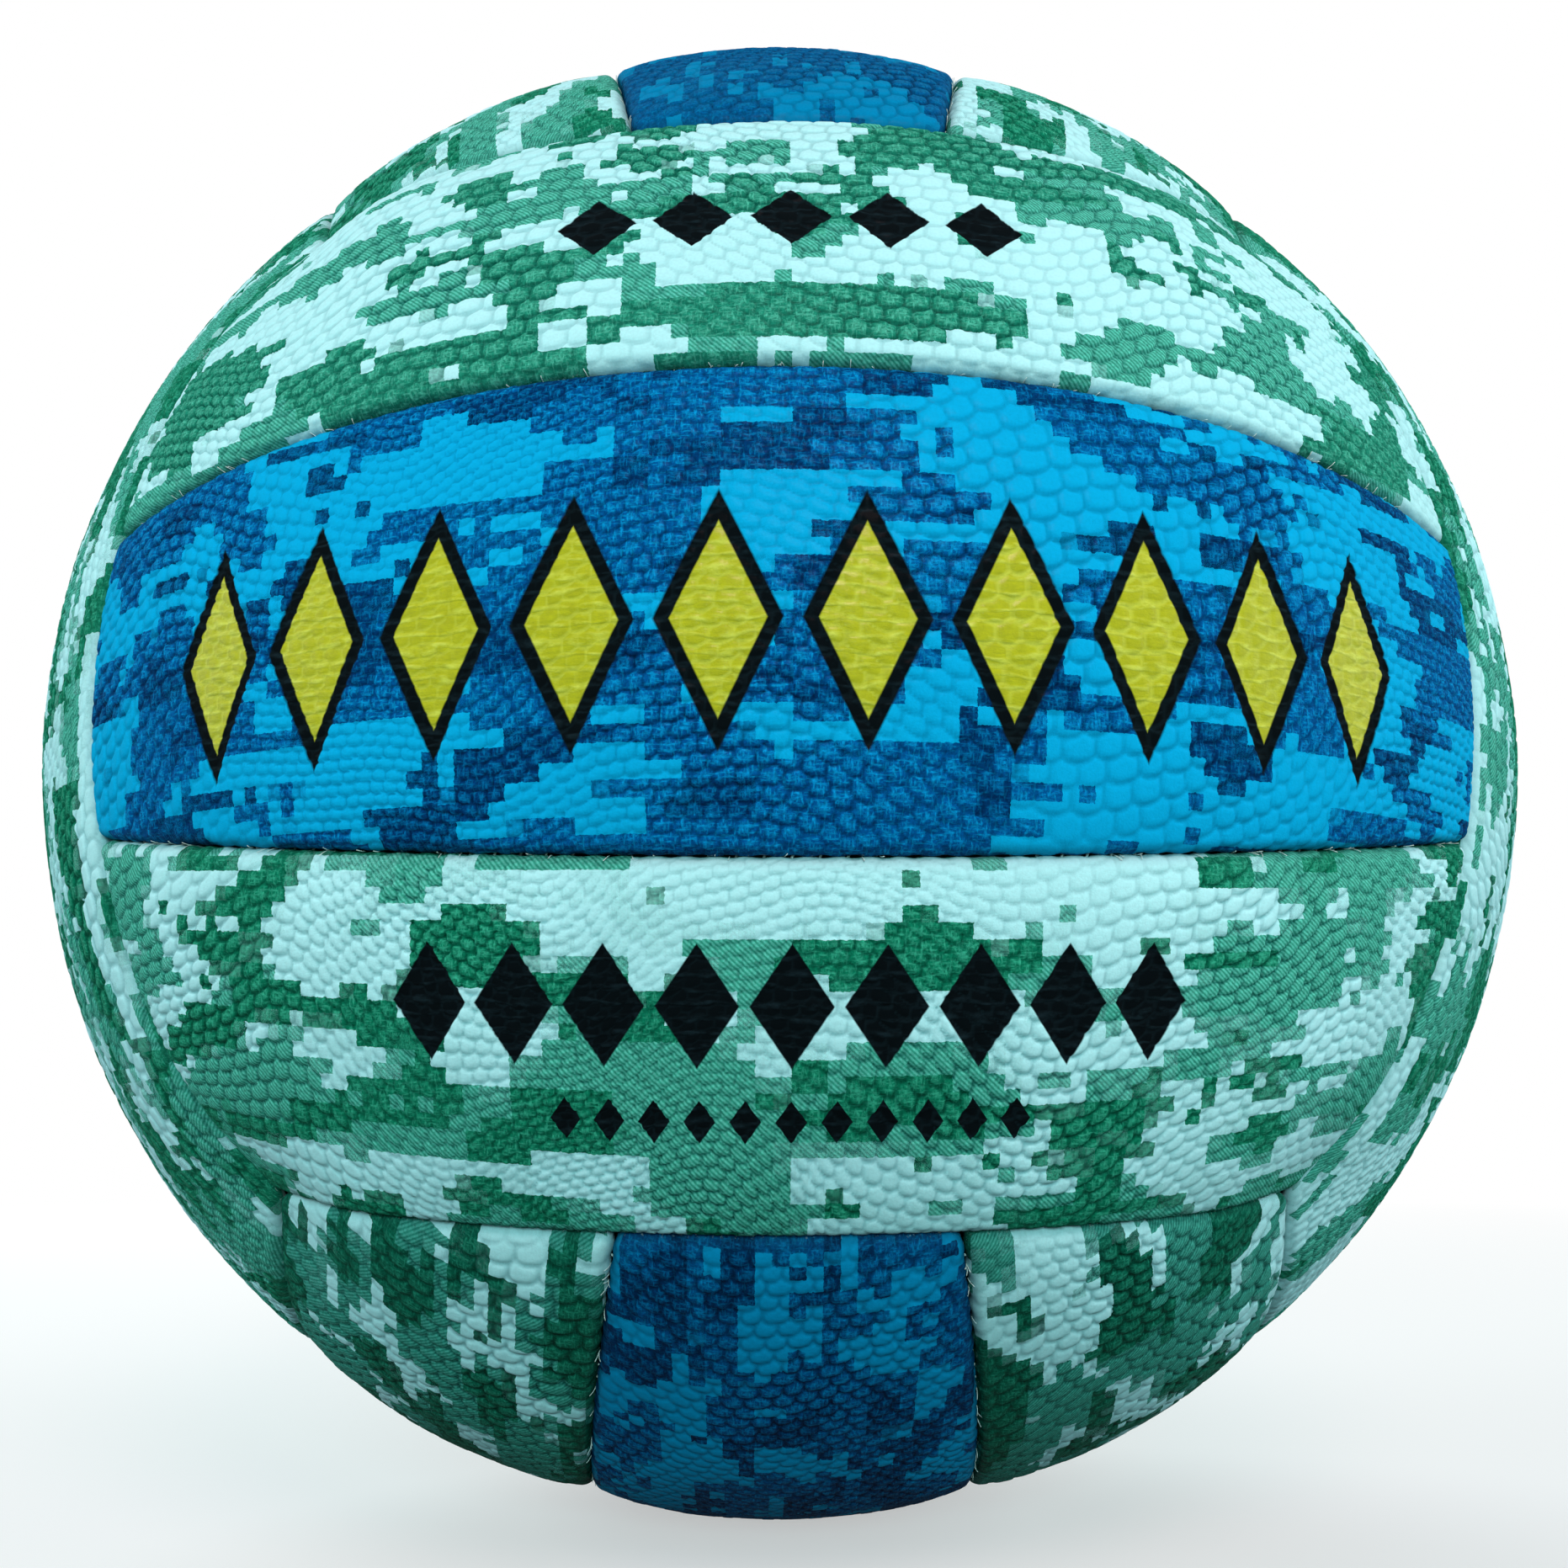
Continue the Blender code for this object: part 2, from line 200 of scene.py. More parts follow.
# Rows of plain lozenges: pitch, count, half width, half height, middle across the strip, outline
PRINTS = {
    "front_upper": ((10.6, 5, 4.4, 4.6, -0.5, 0.0),),
    "front_middle": ((14.6, 10, 6.4, 13.0, -2.5, 1.6),),
    "front_lower": ((9.4, 9, 4.2, 6.6, -5.6, 0.0), (4.6, 11, 1.6, 2.4, 6.8, 0.0)),
}
PRESS_DEPTH = 0.25
PRESS_REACH = 1.06
PRESS_SLOPE = 0.9
PRESSED_RELIEF = 0.4
PRESSED_TOPS = 0.3

# Stitches across the creases, and loose fibres of the backing
STITCH_PITCH = 2.7
STITCH_RADIUS = 0.17
STITCH_DEPTH = 2.35
STITCH_REACH = 0.8
STITCH_SLANT = (0.15, 0.45)
STITCH_LIFT = (-0.1, 0.15)
STITCH_BOW = 0.16
THREAD_TWIST = 2.2
PLIES = 3
PLY_DEPTH = 0.1
FIBRE_PITCH = 2.4
FIBRE_RADIUS = 0.05
FIBRE_DEPTH = 1.7
FIBRE_RISE = (0.45, 0.9)
FIBRE_LEAN = (0.1, 0.45)
FIBRE_DRIFT = (-0.4, 0.4)
FIBRE_SHARE = 0.35
TUFT_LENGTHS = (6.0, 2.3)
LOOK_AHEAD = 0.3
STRIP_SEAM_STEPS = 181
FACE_SEAM_STEPS = 131


# Seams

def larger_root(square, linear, constant):
    return (np.sqrt(linear**2 - 4 * square * constant) - linear) / (2 * square)


def plane_through(first, second):
    """The plane y = offset + slope * z, along x, through two (y, z) points of a ball of radius 1."""
    slope = (second[0] - first[0]) / (second[1] - first[1])
    return first[0] - slope * first[1], slope


def slid(plane, distance):
    """The plane moved along y until the circle that it cuts has gone this distance over the ball."""
    offset, slope = plane
    steepness = math.hypot(1, slope)
    circle_radius = math.sqrt(1 - (offset / steepness) ** 2)
    return offset + distance / RADIUS * circle_radius * steepness, slope


def end_point(plane, end_plane):
    """Where a seam's plane meets the end of its face, at +x, on a ball of radius 1."""
    offset, slope = plane
    end_offset, end_slope = end_plane
    y_start = offset + slope * end_offset
    y_rate = slope * end_slope
    x = larger_root(
        1 + y_rate**2 + end_slope**2,
        2 * (y_start * y_rate + end_offset * end_slope),
        y_start**2 + end_offset**2 - 1,
    )
    return x, y_start + y_rate * x, end_offset + end_slope * x


def face_edge_plane():
    half_angle = FACE_WIDTH / RADIUS / 2
    return plane_through((math.sin(half_angle), math.cos(half_angle)), (CORNER, CORNER))


def strip_edge_plane():
    half_angle = MIDDLE_STRIP_WIDTH / RADIUS / 2
    end = end_point((MIDDLE_STRIP_END_WIDTH / RADIUS / 2, 0), FACE_EDGE)
    return plane_through((math.sin(half_angle), math.cos(half_angle)), end[1:])


FACE_EDGE = face_edge_plane()
STRIP_EDGE = strip_edge_plane()
MIDDLE_STRIP = ((-STRIP_EDGE[0], -STRIP_EDGE[1]), STRIP_EDGE)
SIDE_STRIP = (STRIP_EDGE, FACE_EDGE)


def strip_directions(strip, along, across, inset):
    """Points on a ball of radius 1, from 0 to 1 along and across a strip drawn in from its seams."""
    first = slid(strip[0], inset)
    last = slid(strip[1], -inset)
    offset = first[0] + across * (last[0] - first[0])
    slope = first[1] + across * (last[1] - first[1])
    end_x, _, end_z = end_point((offset, slope), slid(FACE_EDGE, inset))
    turn = (2 * along - 1) * np.arctan2(end_x, end_z)
    lean = slope * np.cos(turn)
    reach = larger_root(1 + lean**2, 2 * offset * lean, offset**2 - 1)
    return np.stack((reach * np.sin(turn), offset + lean * reach, reach * np.cos(turn)), -1)


def arc_lengths(strip, fixed, along_strip):
    """The length over the ball of each line at a fixed share, either along or across the strip."""
    shares = np.linspace(0, 1, 33)[None, :]
    fixed = np.asarray(fixed)[:, None] + 0 * shares
    shares = shares + 0 * fixed
    lines = strip_directions(strip, *((shares, fixed) if along_strip else (fixed, shares)), 0)
    return RADIUS * np.linalg.norm(np.diff(lines, axis=1), axis=2).sum(1)


def face_axes(axis, side):
    """Rows are the face's local X along its strips, Y across them and Z out of the ball."""
    axes = np.eye(3)
    return np.stack((-side * axes[axis], axes[(axis + 2) % 3], side * axes[(axis + 1) % 3]))


# Meshes

def make_piece(name, points, quads, triangles, material, layers=(), uv=None):
    """An object from arrays, with named point layers and a bake map given for each corner."""
    mesh = bpy.data.meshes.new(name)
    corners = np.concatenate((quads.ravel(), triangles.ravel())).astype(np.int32)
    sizes = np.concatenate((np.full(len(quads), 4), np.full(len(triangles), 3)))
    mesh.vertices.add(len(points))
    mesh.vertices.foreach_set("co", (points * MM).astype(np.float32).ravel())
    mesh.loops.add(len(corners))
    mesh.loops.foreach_set("vertex_index", corners)
    mesh.polygons.add(len(sizes))
    mesh.polygons.foreach_set("loop_start", (np.cumsum(sizes) - sizes).astype(np.int32))
    mesh.update(calc_edges=True)
    mesh.shade_smooth()
    for layer, values in layers:
        kind, field = ("FLOAT", "value") if values.ndim == 1 else ("FLOAT_VECTOR", "vector")
        data = mesh.attributes.new(layer, kind, "POINT").data
        data.foreach_set(field, values.astype(np.float32).ravel())
    if uv is not None:
        mesh.uv_layers.new(name="OFBake").data.foreach_set("uv", uv.astype(np.float32).ravel())
    mesh.materials.append(material)
    made = bpy.data.objects.new(name, mesh)
    bpy.context.scene.collection.objects.link(made)
    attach(made, "root")
    return made


def eased(share):
    """A share held between 0 and 1, with a slow start and end."""
    share = np.clip(share, 0, 1)
    return share**2 * (3 - 2 * share)


def dome(along, across):
    """From 0 at the edges of a strip to 1 in its middle."""
    return (1 - (2 * along - 1) ** 2) * (1 - (2 * across - 1) ** 2)


def drawn_in(points):
    """Points of the cover and what lies under it, lowered round the corners where three faces meet."""
    reach = np.linalg.norm(points, axis=-1, keepdims=True)
    turn = np.arccos(np.clip(CORNER * np.abs(points).sum(-1, keepdims=True) / reach, -1, 1))
    drop = PIT_DEPTH * np.exp(-((turn * RADIUS / PIT_REACH) ** 2))
    give = (reach - BLADDER_RADIUS) / (RADIUS - BLADDER_RADIUS)
    return points * (1 - drop * give / reach)


def bent_profile(flat_length, radius, count):
    """Points of a line that bends down at both ends.

    Gives each point's share of the flat part, how far it is bent, and its share of the flat length.
    """
    bend = radius * math.pi / 2
    length = flat_length - 2 * radius + 2 * bend
    places = np.linspace(0, length, count + 1)
    bent = np.clip(places / bend - 1, -1, 0) + np.clip((places - length) / bend + 1, 0, 1)
    flat = np.clip((places - bend) / (length - 2 * bend), 0, 1)
    share = (radius + flat * (flat_length - 2 * radius) + radius * np.sin(bent * math.pi / 2)) / flat_length
    return flat, bent, share


def border_of(columns, rows, first=(0, 0)):
    """Grid places round a block of cells, anticlockwise seen from outside the ball."""
    places = [(i, 0) for i in range(columns)] + [(columns, j) for j in range(rows)]
    places += [(i, rows) for i in range(columns, 0, -1)] + [(0, j) for j in range(rows, 0, -1)]
    return np.array(places) + np.array(first)


def wall(outer, inner):
    """Quads between two rings of the same count."""
    return np.stack((outer, inner, np.roll(inner, -1), np.roll(outer, -1)), -1)


def fans(fine, coarse):
    """Triangles between a ring and another with one point for every COARSE points of the first."""
    fine_next = np.roll(fine, -1)
    cell = np.arange(len(fine)) // COARSE
    late = np.arange(len(fine)) % COARSE >= COARSE // 2
    tips = np.where(late, np.roll(coarse, -1)[cell], coarse[cell])
    edge = np.stack((fine, tips, fine_next), -1)
    middle = np.stack((fine[COARSE // 2 :: COARSE], coarse, np.roll(coarse, -1)), -1)
    return np.concatenate((edge, middle))


def neck_hole(sheet, halves):
    """How far the sheet moves to make a square block of cells a round hole, and the drop of its lip."""
    square = np.max(np.abs(sheet) / halves[:, None, None], axis=0)
    away = np.hypot(*sheet)
    fade = np.clip(square - 1, 0, 1)
    pull = (1 - fade) ** 2 * (1 + 2 * fade)
    grow = pull * (NECK_HOLE_RADIUS * square / np.maximum(away, 1e-6) - 1)
    lip = np.clip(1 - (away * (1 + grow) - NECK_HOLE_RADIUS) / HOLE_LIP, 0, 1)
    return sheet * grow, HOLE_LIP * (1 - np.sqrt(1 - lip**2))


def round_corners(strip, places, spans):
    """Places with the strip's corners rounded in the plane of the sheet, most where three faces meet."""
    three_faces = (places[1] > 0.5) & (strip is SIDE_STRIP)
    round_by = np.where(three_faces, CORNER_ROUND, SEAM_END_ROUND)
    near = np.clip(1 - spans * np.minimum(places, 1 - places) / round_by, 0, 1)
    draw = round_by * near * (1 - np.sqrt(1 - near[::-1] ** 2 / 2))
    return places + np.sign(0.5 - places) * draw / spans


def grid_cells(index):
    """Quads between the points of a grid."""
    return np.stack((index[:-1, :-1], index[1:, :-1], index[1:, 1:], index[:-1, 1:]), -1)


def pad_arrays(strip, columns, rows, inset, depth, radius, rings, inner, hole=0, relief=None):
    """A closed pad over a strip, with rounded edges and corners, in the face's own axes.

    rings are (inset, depth) under its edge and inner is (inset, depth, crown) of its coarse inside.
    hole is half the side, in cells, of the square block that is left out for the valve's neck.
    relief gives the height over the smooth surface from places on the flat sheet, in millimetres.
    """
    lines = []
    for along_strip, count in ((True, columns), (False, rows)):
        length = arc_lengths(strip, [0.5], along_strip)[0] - 2 * inset
        lines.append(bent_profile(length, radius, count))
    flat, bent, shares = zip(*lines)
    flat, bent = np.stack(np.meshgrid(*flat, indexing="ij")), np.stack(np.meshgrid(*bent, indexing="ij"))
    spans = arc_lengths(strip, shares[0], False), arc_lengths(strip, shares[1], True)
    spans = np.stack(np.meshgrid(*spans, indexing="ij")[::-1]) - 2 * inset

    # The square of two bends becomes a round corner
    leans = bent * np.sqrt(1 - bent[::-1] ** 2 / 2)
    lean = np.hypot(*leans)
    angle = lean * math.pi / 2
    outward = np.divide(np.sin(angle), lean, out=np.zeros_like(lean), where=lean > 0)

    bend = radius * math.pi / 2
    sheet = (flat - 0.5) * (spans - 2 * radius) + bent * bend
    move = np.zeros_like(sheet)
    sunk = height = tops = np.zeros_like(lean)
    middle = np.array((columns // 2, rows // 2))
    if hole:
        halves = sheet[0, middle[0] + hole, middle[1]], sheet[1, middle[0], middle[1] + hole]
        move, sunk = neck_hole(sheet, np.array(halves))
    moved = sheet + move
    if relief is not None:
        height, tops = relief(*moved)
        to_end, to_side = spans / 2 - radius + bend - np.abs(sheet)
        full = SIDE_RELIEF + (1 - SIDE_RELIEF) * eased(to_side / SIDE_FADE)
        full = full * (END_RELIEF + (1 - END_RELIEF) * eased(to_end / END_FADE))
        seam_run = np.where(bent[1] != 0, *sheet)
        pucker = PUCKER_DEPTH * lean**2 * np.cos(math.tau * seam_run / PUCKER_PITCH)
        height, tops = height * full * (1 - lean**3) - pucker, tops * full
        sunk = sunk + ROLL_DEPTH * (1 - eased(np.minimum(to_end, to_side) / ROLL_REACH))
    rounding = radius + height
    places = (radius + flat * (spans - 2 * radius) + rounding * outward * leans + move) / spans
    along, across = places = round_corners(strip, places, spans)
    reach = RADIUS - depth + CROWN_HEIGHT * dome(along, across) - radius + rounding * np.cos(angle) - sunk
    points = strip_directions(strip, along, across, inset) * reach[..., None]

    # Fine outside
    index = np.arange(lean.size).reshape(lean.shape)
    cells = grid_cells(index)
    parts = [points.reshape(-1, 3)]
    sheets = [moved.reshape(2, -1).T]
    edges = [((1 - lean) * bend).ravel()]
    grid = np.indices(lean.shape).reshape(2, -1).T / (columns, rows)
    maps = [(MAP_EDGE, SHOWN_LOW) + grid * (MAP_SPAN, SHOWN_SPAN)]
    hidden_maps = [MAP_EDGE + MAP_SPAN * places.reshape(2, -1).T * (1, HIDDEN_SPAN)]

    # Rings under the edge
    border = tuple(border_of(columns, rows).T)
    last = edge = index[border]
    edge_along, edge_across = along[border], across[border]
    ring_map = (MAP_EDGE, RING_LOW) + np.stack((edge_along, edge_across), -1) * (MAP_SPAN, HIDDEN_SPAN)
    walls = []
    for number, (ring_inset, ring_depth) in enumerate(rings):
        ring = sum(map(len, parts)) + np.arange(len(edge))
        parts.append(strip_directions(strip, edge_along, edge_across, ring_inset) * (RADIUS - ring_depth))
        sheets.append(sheets[0][edge])
        edges.append(np.full(len(edge), -1.0 - number))
        maps.append(maps[0][edge] + RING_STEP * (number + 1) * np.sign(maps[0][edge] - SHOWN_MIDDLE))
        hidden_maps.append(ring_map)
        walls.append(wall(last, ring))
        last = ring

    # Coarse inside
    inner_inset, inner_depth, inner_crown = inner
    coarse_along, coarse_across = coarse_places = places[:, ::COARSE, ::COARSE]
    inner_reach = RADIUS - inner_depth + inner_crown * dome(coarse_along, coarse_across)
    inside = strip_directions(strip, coarse_along, coarse_across, inner_inset) * inner_reach[..., None]
    coarse = sum(map(len, parts)) + np.arange(coarse_along.size).reshape(coarse_along.shape)
    parts.append(inside.reshape(-1, 3))
    sheets.append(sheet[:, ::COARSE, ::COARSE].reshape(2, -1).T)
    edges.append(np.full(coarse.size, INSIDE_EDGE))
    hidden_maps.append(INSIDE_LOW + coarse_places.reshape(2, -1).T * INSIDE_SPAN)
    under = grid_cells(coarse)[..., ::-1]
    under = np.roll(under, 1, axis=-1)
    coarse_border = tuple(border_of(*np.subtract(coarse.shape, 1)).T)
    triangles = [fans(last, coarse[coarse_border])]

    kept, kept_under = np.ones(cells.shape[:2], bool), np.ones(under.shape[:2], bool)
    if hole:
        necks = []
        for numbers, keep, size in ((index, kept, 1), (coarse, kept_under, COARSE)):
            low = (middle - hole) // size
            side = 2 * hole // size
            keep[low[0] : low[0] + side, low[1] : low[1] + side] = False
            ring = np.roll(border_of(side, side, low)[::-1], 1, axis=0)
            necks.append(numbers[tuple(ring.T)])
        triangles.append(fans(*necks))
    shown = np.concatenate([cells[kept]] + walls)
    hidden = under[kept_under]
    triangles = np.concatenate(triangles)
    maps, hidden_maps = np.concatenate(maps), np.concatenate(hidden_maps)
    uv = (maps[shown.ravel()], hidden_maps[hidden.ravel()], hidden_maps[triangles.ravel()])
    return {
        "points": drawn_in(np.concatenate(parts)),
        "quads": np.concatenate((shown, hidden)),
        "triangles": triangles,
        "sheet": np.concatenate(sheets),
        "edge": np.concatenate(edges),
        "tops": np.concatenate((tops.ravel(), np.zeros(sum(map(len, parts[1:]))))),
        "uv": np.concatenate(uv),
    }


# Relief of the embossed sheet

def cell_noise(column, row, salt):
    """A fixed number from 0 to 1 for each cell of a lattice."""
    wave = np.sin(column * 127.1 + row * 311.7 + salt * 74.7) * 43758.5453
    return wave - np.floor(wave)


def scale_ends(number, row, seed):
    """Where a numbered scale starts along its row, in scales."""
    return number + SCALE_SHIFT * (cell_noise(number, row, seed + 5) - 0.5)


def scale_places(along, row, seed):
    """The number of the scale at each place along a row, and how far along that scale it is."""
    place = along / SCALE_LENGTH + 0.5 * np.mod(row, 2) + ROW_SHIFT * cell_noise(row, 0, seed)
    number = np.floor(place)
    number = number - (place < scale_ends(number, row, seed)) + (place > scale_ends(number + 1, row, seed))
    start, end = scale_ends(number, row, seed), scale_ends(number + 1, row, seed)
    return number, (place - start) / (end - start)


def scallop(along, row, seed):
    """How far a row's lower edge is drawn up towards the sides of each scale, as a share of the row."""
    return SCALLOP * np.abs(2 * scale_places(along, row, seed)[1] - 1) ** SCALLOP_POWER


def flowing_scales(u, v, seed, turn, waves):
    """Lapped scales in rows that sweep over the sheet.

    Gives heights up to about 1, and tops, which go from -1 in the grooves to 1 in the middle of a scale.
    """
    chance = np.random.default_rng(seed)
    phases = chance.uniform(0, math.tau, 6)
    flow = u + 1j * v
    for (size, wavelength), phase in zip(SWEEPS, phases):
        flow = flow + size * np.sin(math.tau / wavelength * (u + 1j * v) + phase)
    flow = flow * np.exp(1j * (turn + chance.uniform(-ROW_TILT, ROW_TILT)))
    along, across = flow.real, flow.imag
    bend = SWAY_BEND * np.sin(across / SWAY_BEND_LENGTH + phases[3])
    sway = SWAY * np.sin(along / SWAY_LENGTH + phases[2] + bend)
    sway += RIPPLE * np.sin(along / RIPPLE_LENGTH + phases[4] + across / RIPPLE_SLANT)
    along = along + SHEAR * np.sin(across / SHEAR_LENGTH + phases[5])
    place = (across + waves * sway) / SCALE_WIDTH
    row = np.floor(place)
    row = row - (place < row + scallop(along, row, seed))
    over_edge = place - row - scallop(along, row, seed)
    under_next = row + 1 + scallop(along, row + 1, seed) - place
    number, side = scale_places(along, row, seed)
    to_ends = np.minimum(over_edge, under_next) * SCALE_WIDTH
    to_sides = np.minimum(side, 1 - side) * SCALE_LENGTH
    fall = np.hypot(*(1 - np.clip(away / GROOVE_REACH, 0, 1) for away in (to_ends, to_sides)))
    height = SCALE_TOP + SCALE_TOP_SPREAD * cell_noise(number, row, seed + 9)
    height -= SCALE_SLOPE * np.clip(over_edge, 0, 1)
    height *= 1 - GROOVE_FALL * np.minimum(fall, 1) ** GROOVE_POWER
    groove = np.maximum(1 - to_ends / GROOVE_WIDTH, SIDE_GROOVE * (1 - to_sides / GROOVE_WIDTH))
    return height, np.clip(1 - TOP_REACH * fall, 0, 1) - np.clip(groove, 0, 1)


def lozenges(u, v, row):
    """How far each place is from the middle of its lozenge, with 1 on the outline's outside."""
    pitch, count, half_width, half_height, middle, _ = row
    most = (count - 1) / 2
    nearest = np.clip(np.round(u / pitch + most), 0, count - 1) - most
    return np.abs(u - nearest * pitch) / half_width + np.abs(v - middle) / half_height


def sheet_relief(seed, prints, down, turn, size, waves):
    """The relief of one panel, flatter and lower where it is printed."""
    chance = np.random.default_rng(seed + 400)
    phases = chance.uniform(0, math.tau, 6)

    def relief(u, v):
        scales, tops = flowing_scales(down * u / size, down * v / size, seed, turn, waves)
        patches = np.sin(u / PATCH_LENGTH + phases[4])
        patches *= np.sin(v / PATCH_WIDTH + u / PATCH_SLANT + phases[5])
        strength = PATCH_MEAN + PATCH_SPREAD * patches
        bend = SWELL_BEND * np.sin(v / SWELL_BEND_LENGTH + phases[1])
        swell = np.sin(u / SWELL_LENGTH + phases[0] + bend) * np.sin(v / SWELL_WIDTH + phases[2])
        swell += BROAD_SWELL * np.sin(u / BROAD_SWELL_LENGTH + phases[3] + v / BROAD_SWELL_SLANT)
        height = strength * (SCALE_HEIGHT * scales - SCALE_SINK) + SWELL_HEIGHT * swell
        tops = strength * tops
        for row in prints:
            inside = eased((PRESS_REACH - lozenges(u, v, row)) * row[2] / PRESS_SLOPE)
            height = height * (1 - PRESSED_RELIEF * inside) - PRESS_DEPTH * inside
            tops = tops * (1 - PRESSED_TOPS * inside)
        return height, tops

    return relief


# Colours

def linear(*shown):
    """A colour given as the screen shows it, from 0 to 255."""
    shares = [value / 255 for value in shown]
    return *(x / 12.92 if x <= 0.04045 else ((x + 0.055) / 1.055) ** 2.4 for x in shares), 1


def colours(*shown):
    """Several such colours."""
    return tuple(linear(*colour) for colour in shown)


# Inks: the bare sheet, then a light and a dark ink for each of the two printed layers
GREEN_INKS = colours((200, 244, 247), (98, 190, 170), (56, 152, 129), (56, 162, 130), (14, 116, 86))
# A lighter copy of the green inks' second layer for the upper strip: painted light
UPPER_LIT_INKS = colours((200, 244, 247), (98, 190, 170), (56, 152, 129), (82, 176, 150), (32, 130, 105))
# A darker copy of the green inks for the bottom panels: painted shade
BOTTOM_SHADED_INKS = colours((200, 244, 247), (78, 166, 150), (48, 134, 117), (38, 132, 106), (8, 90, 69))
BLUE_INKS = colours((9, 172, 224), (8, 140, 198), (2, 82, 144), (4, 108, 161), (1, 55, 106))
# Darker copies of the blue inks for the bottom and top strips: painted shade
BOTTOM_BLUE_SHADED_INKS = colours((6, 142, 192), (5, 116, 168), (2, 70, 122), (3, 92, 140), (1, 48, 90))
TOP_BLUE_SHADED_INKS = colours((3, 134, 184), (3, 108, 156), (2, 86, 140), (3, 108, 156), (2, 86, 140))

# Painted shade: the tint multiplied into the grooves between scales
GROOVE_SHADE_TINT = linear(60, 128, 134)
CLOTH = linear(222, 228, 222)
# Painted shade in the seam's crease
SEAM_SHADE = linear(26, 44, 48)
YELLOW = linear(188, 180, 8)
# Painted highlight on the yellow film
YELLOW_GLINT_COLOUR = linear(236, 232, 96)
INK_BLACK = linear(7, 12, 15)
# Painted highlight on the black print
BLACK_GLINT_COLOUR = linear(58, 80, 90)
FOAM_COLOURS = colours((220, 214, 194), (240, 236, 221))
# Painted shade in the foam's pores
FOAM_PORE = linear(150, 140, 116)
THREAD_COLOURS = colours((188, 200, 196), (236, 240, 234))
# Painted shade on thread deep in the creases
THREAD_CREASE_SHADE = linear(34, 46, 48)
BLADDER_COLOURS = colours((30, 31, 33), (52, 53, 56))
VALVE_COLOURS = colours((22, 22, 24), (40, 40, 43))


# Printed pixels, the runs that join them and the hatching of the ink
PIXEL = 1.8
PIXEL_RUNS = ((0.2, 1.0, 1.0), (0.3334, 1.0, 1.0), (0.5, 0.5, 1.0))
GREEN_RUN_SHARE = 0.08
BLUE_RUN_SHARE = 0.105
HATCH_PITCH = 0.42
RAG = (0.34, 0.34, 0.0)
BLOT_SOFTNESS = 0.002
SEED_STEP = 7.3

# Blots of each layer: shift of their noise, and its stretch along each axis
FIRST_BLOTS = (3.7, (0.095, 0.19, 0.0))
SECOND_BLOTS = (41.3, (0.1, 0.2, 0.0))

# Noise over the sheet: scale, detail and roughness
RAG_NOISE = (2.6, 1.0, 0.5)
BLOT_NOISE = (1.0, 1.0, 0.5)
GRAIN_NOISE = (2.7, 2.0, 0.6)
CLOUD_NOISE = (1.1, 2.0, 0.55)
WEAVE_NOISE = (1.0, 2.0, 0.65)
WEAR_NOISE = (0.9, 3.0, 0.6)
FUZZ_NOISE = (1.9, 3.0, 0.7)
PORE_NOISE = (4.2, 2.0, 0.6)
RIB_NOISE = (1.0, 2.0, 0.5)
CREASE_NOISE = (0.8, 3.0, 0.6)
WEAVE_STRETCHES = ((0.8, 3.1, 1.0), (3.1, 0.8, 1.0))
RIB_STRETCH = (0.16, 0.5, 1.0)
CREASE_STRETCH = (0.7, 1.6, 1.0)

# Steps: level and softness, which is below 0 where the step goes down
SPECKS = (0.6, -0.09)
HATCH = (0.0, 0.5)
PRINT_EDGE = (1.0, -0.02)
FUZZ = (0.63, 0.03)
FUZZ_REACH = (0.55, -0.35)
RAW_EDGE = (-0.6, -0.3)
# Reach of the painted shade into the seam's crease
SEAM_SHADE_REACH = (1.3, -1.2)
RIBS = (0.6, 0.4)
CREASES = (0.52, 0.12)
MOTTLE = (0.5, 0.2)
PORE_EDGE = (0.3, -0.2)
STRANDS = (0.5, 0.25)
# Radius below which the thread takes its painted crease shade
THREAD_SHALLOW = (101.2, 0.7)

# Strength of each effect on the sheet
# More light specks on scale tops: worn ink, and a painted sheen
TOP_WEAR_AND_SHEEN = 0.07
GRAIN_SHADE = 1.6
CLOUD_SHADE = 0.35
BARE_SHADE = 0.15
# Share of the painted seam shade
SEAM_SHADE_SHARE = 0.45
# Share of the painted groove shade on the bare sheet
BARE_GROOVE_SHADE = 0.5
RIB_PITCH = 1.6
RIB_SWAY = 11.0
# Strengths of the painted highlights: on ribs, in grooves, and on black
RIB_GLINT_SHARE = 0.6
GROOVE_GLINT_SHARE = 0.7
BLACK_GLINT_SHARE = 0.3
CLOUD_RELIEF = 0.6
CREASE_RELIEF = 4.0
RIB_RELIEF = 1.6
SHEET_BUMP = {"Strength": 0.35, "Distance": 0.00012}
SHEET_COAT = 0.03
FILM_COAT = 0.65
FILM_SOFTNESS = -0.015
WEAR = (0.5, 0.75)

# Moulded rubber, foam and thread, with the noise's detail and roughness
MOTTLE_NOISE = (4.0, 0.6)
MOULD_NOISE = (3.0, 0.6)
MOULD_RELIEF = 0.0003
MOULD_FINENESS = 6
FOAM_SCALE = 260.0
FOAM_PORES = ((1100.0, 0.35), (420.0, 0.25))
STRAND_NOISE = (2.4, 3.0, 0.6)


# Materials

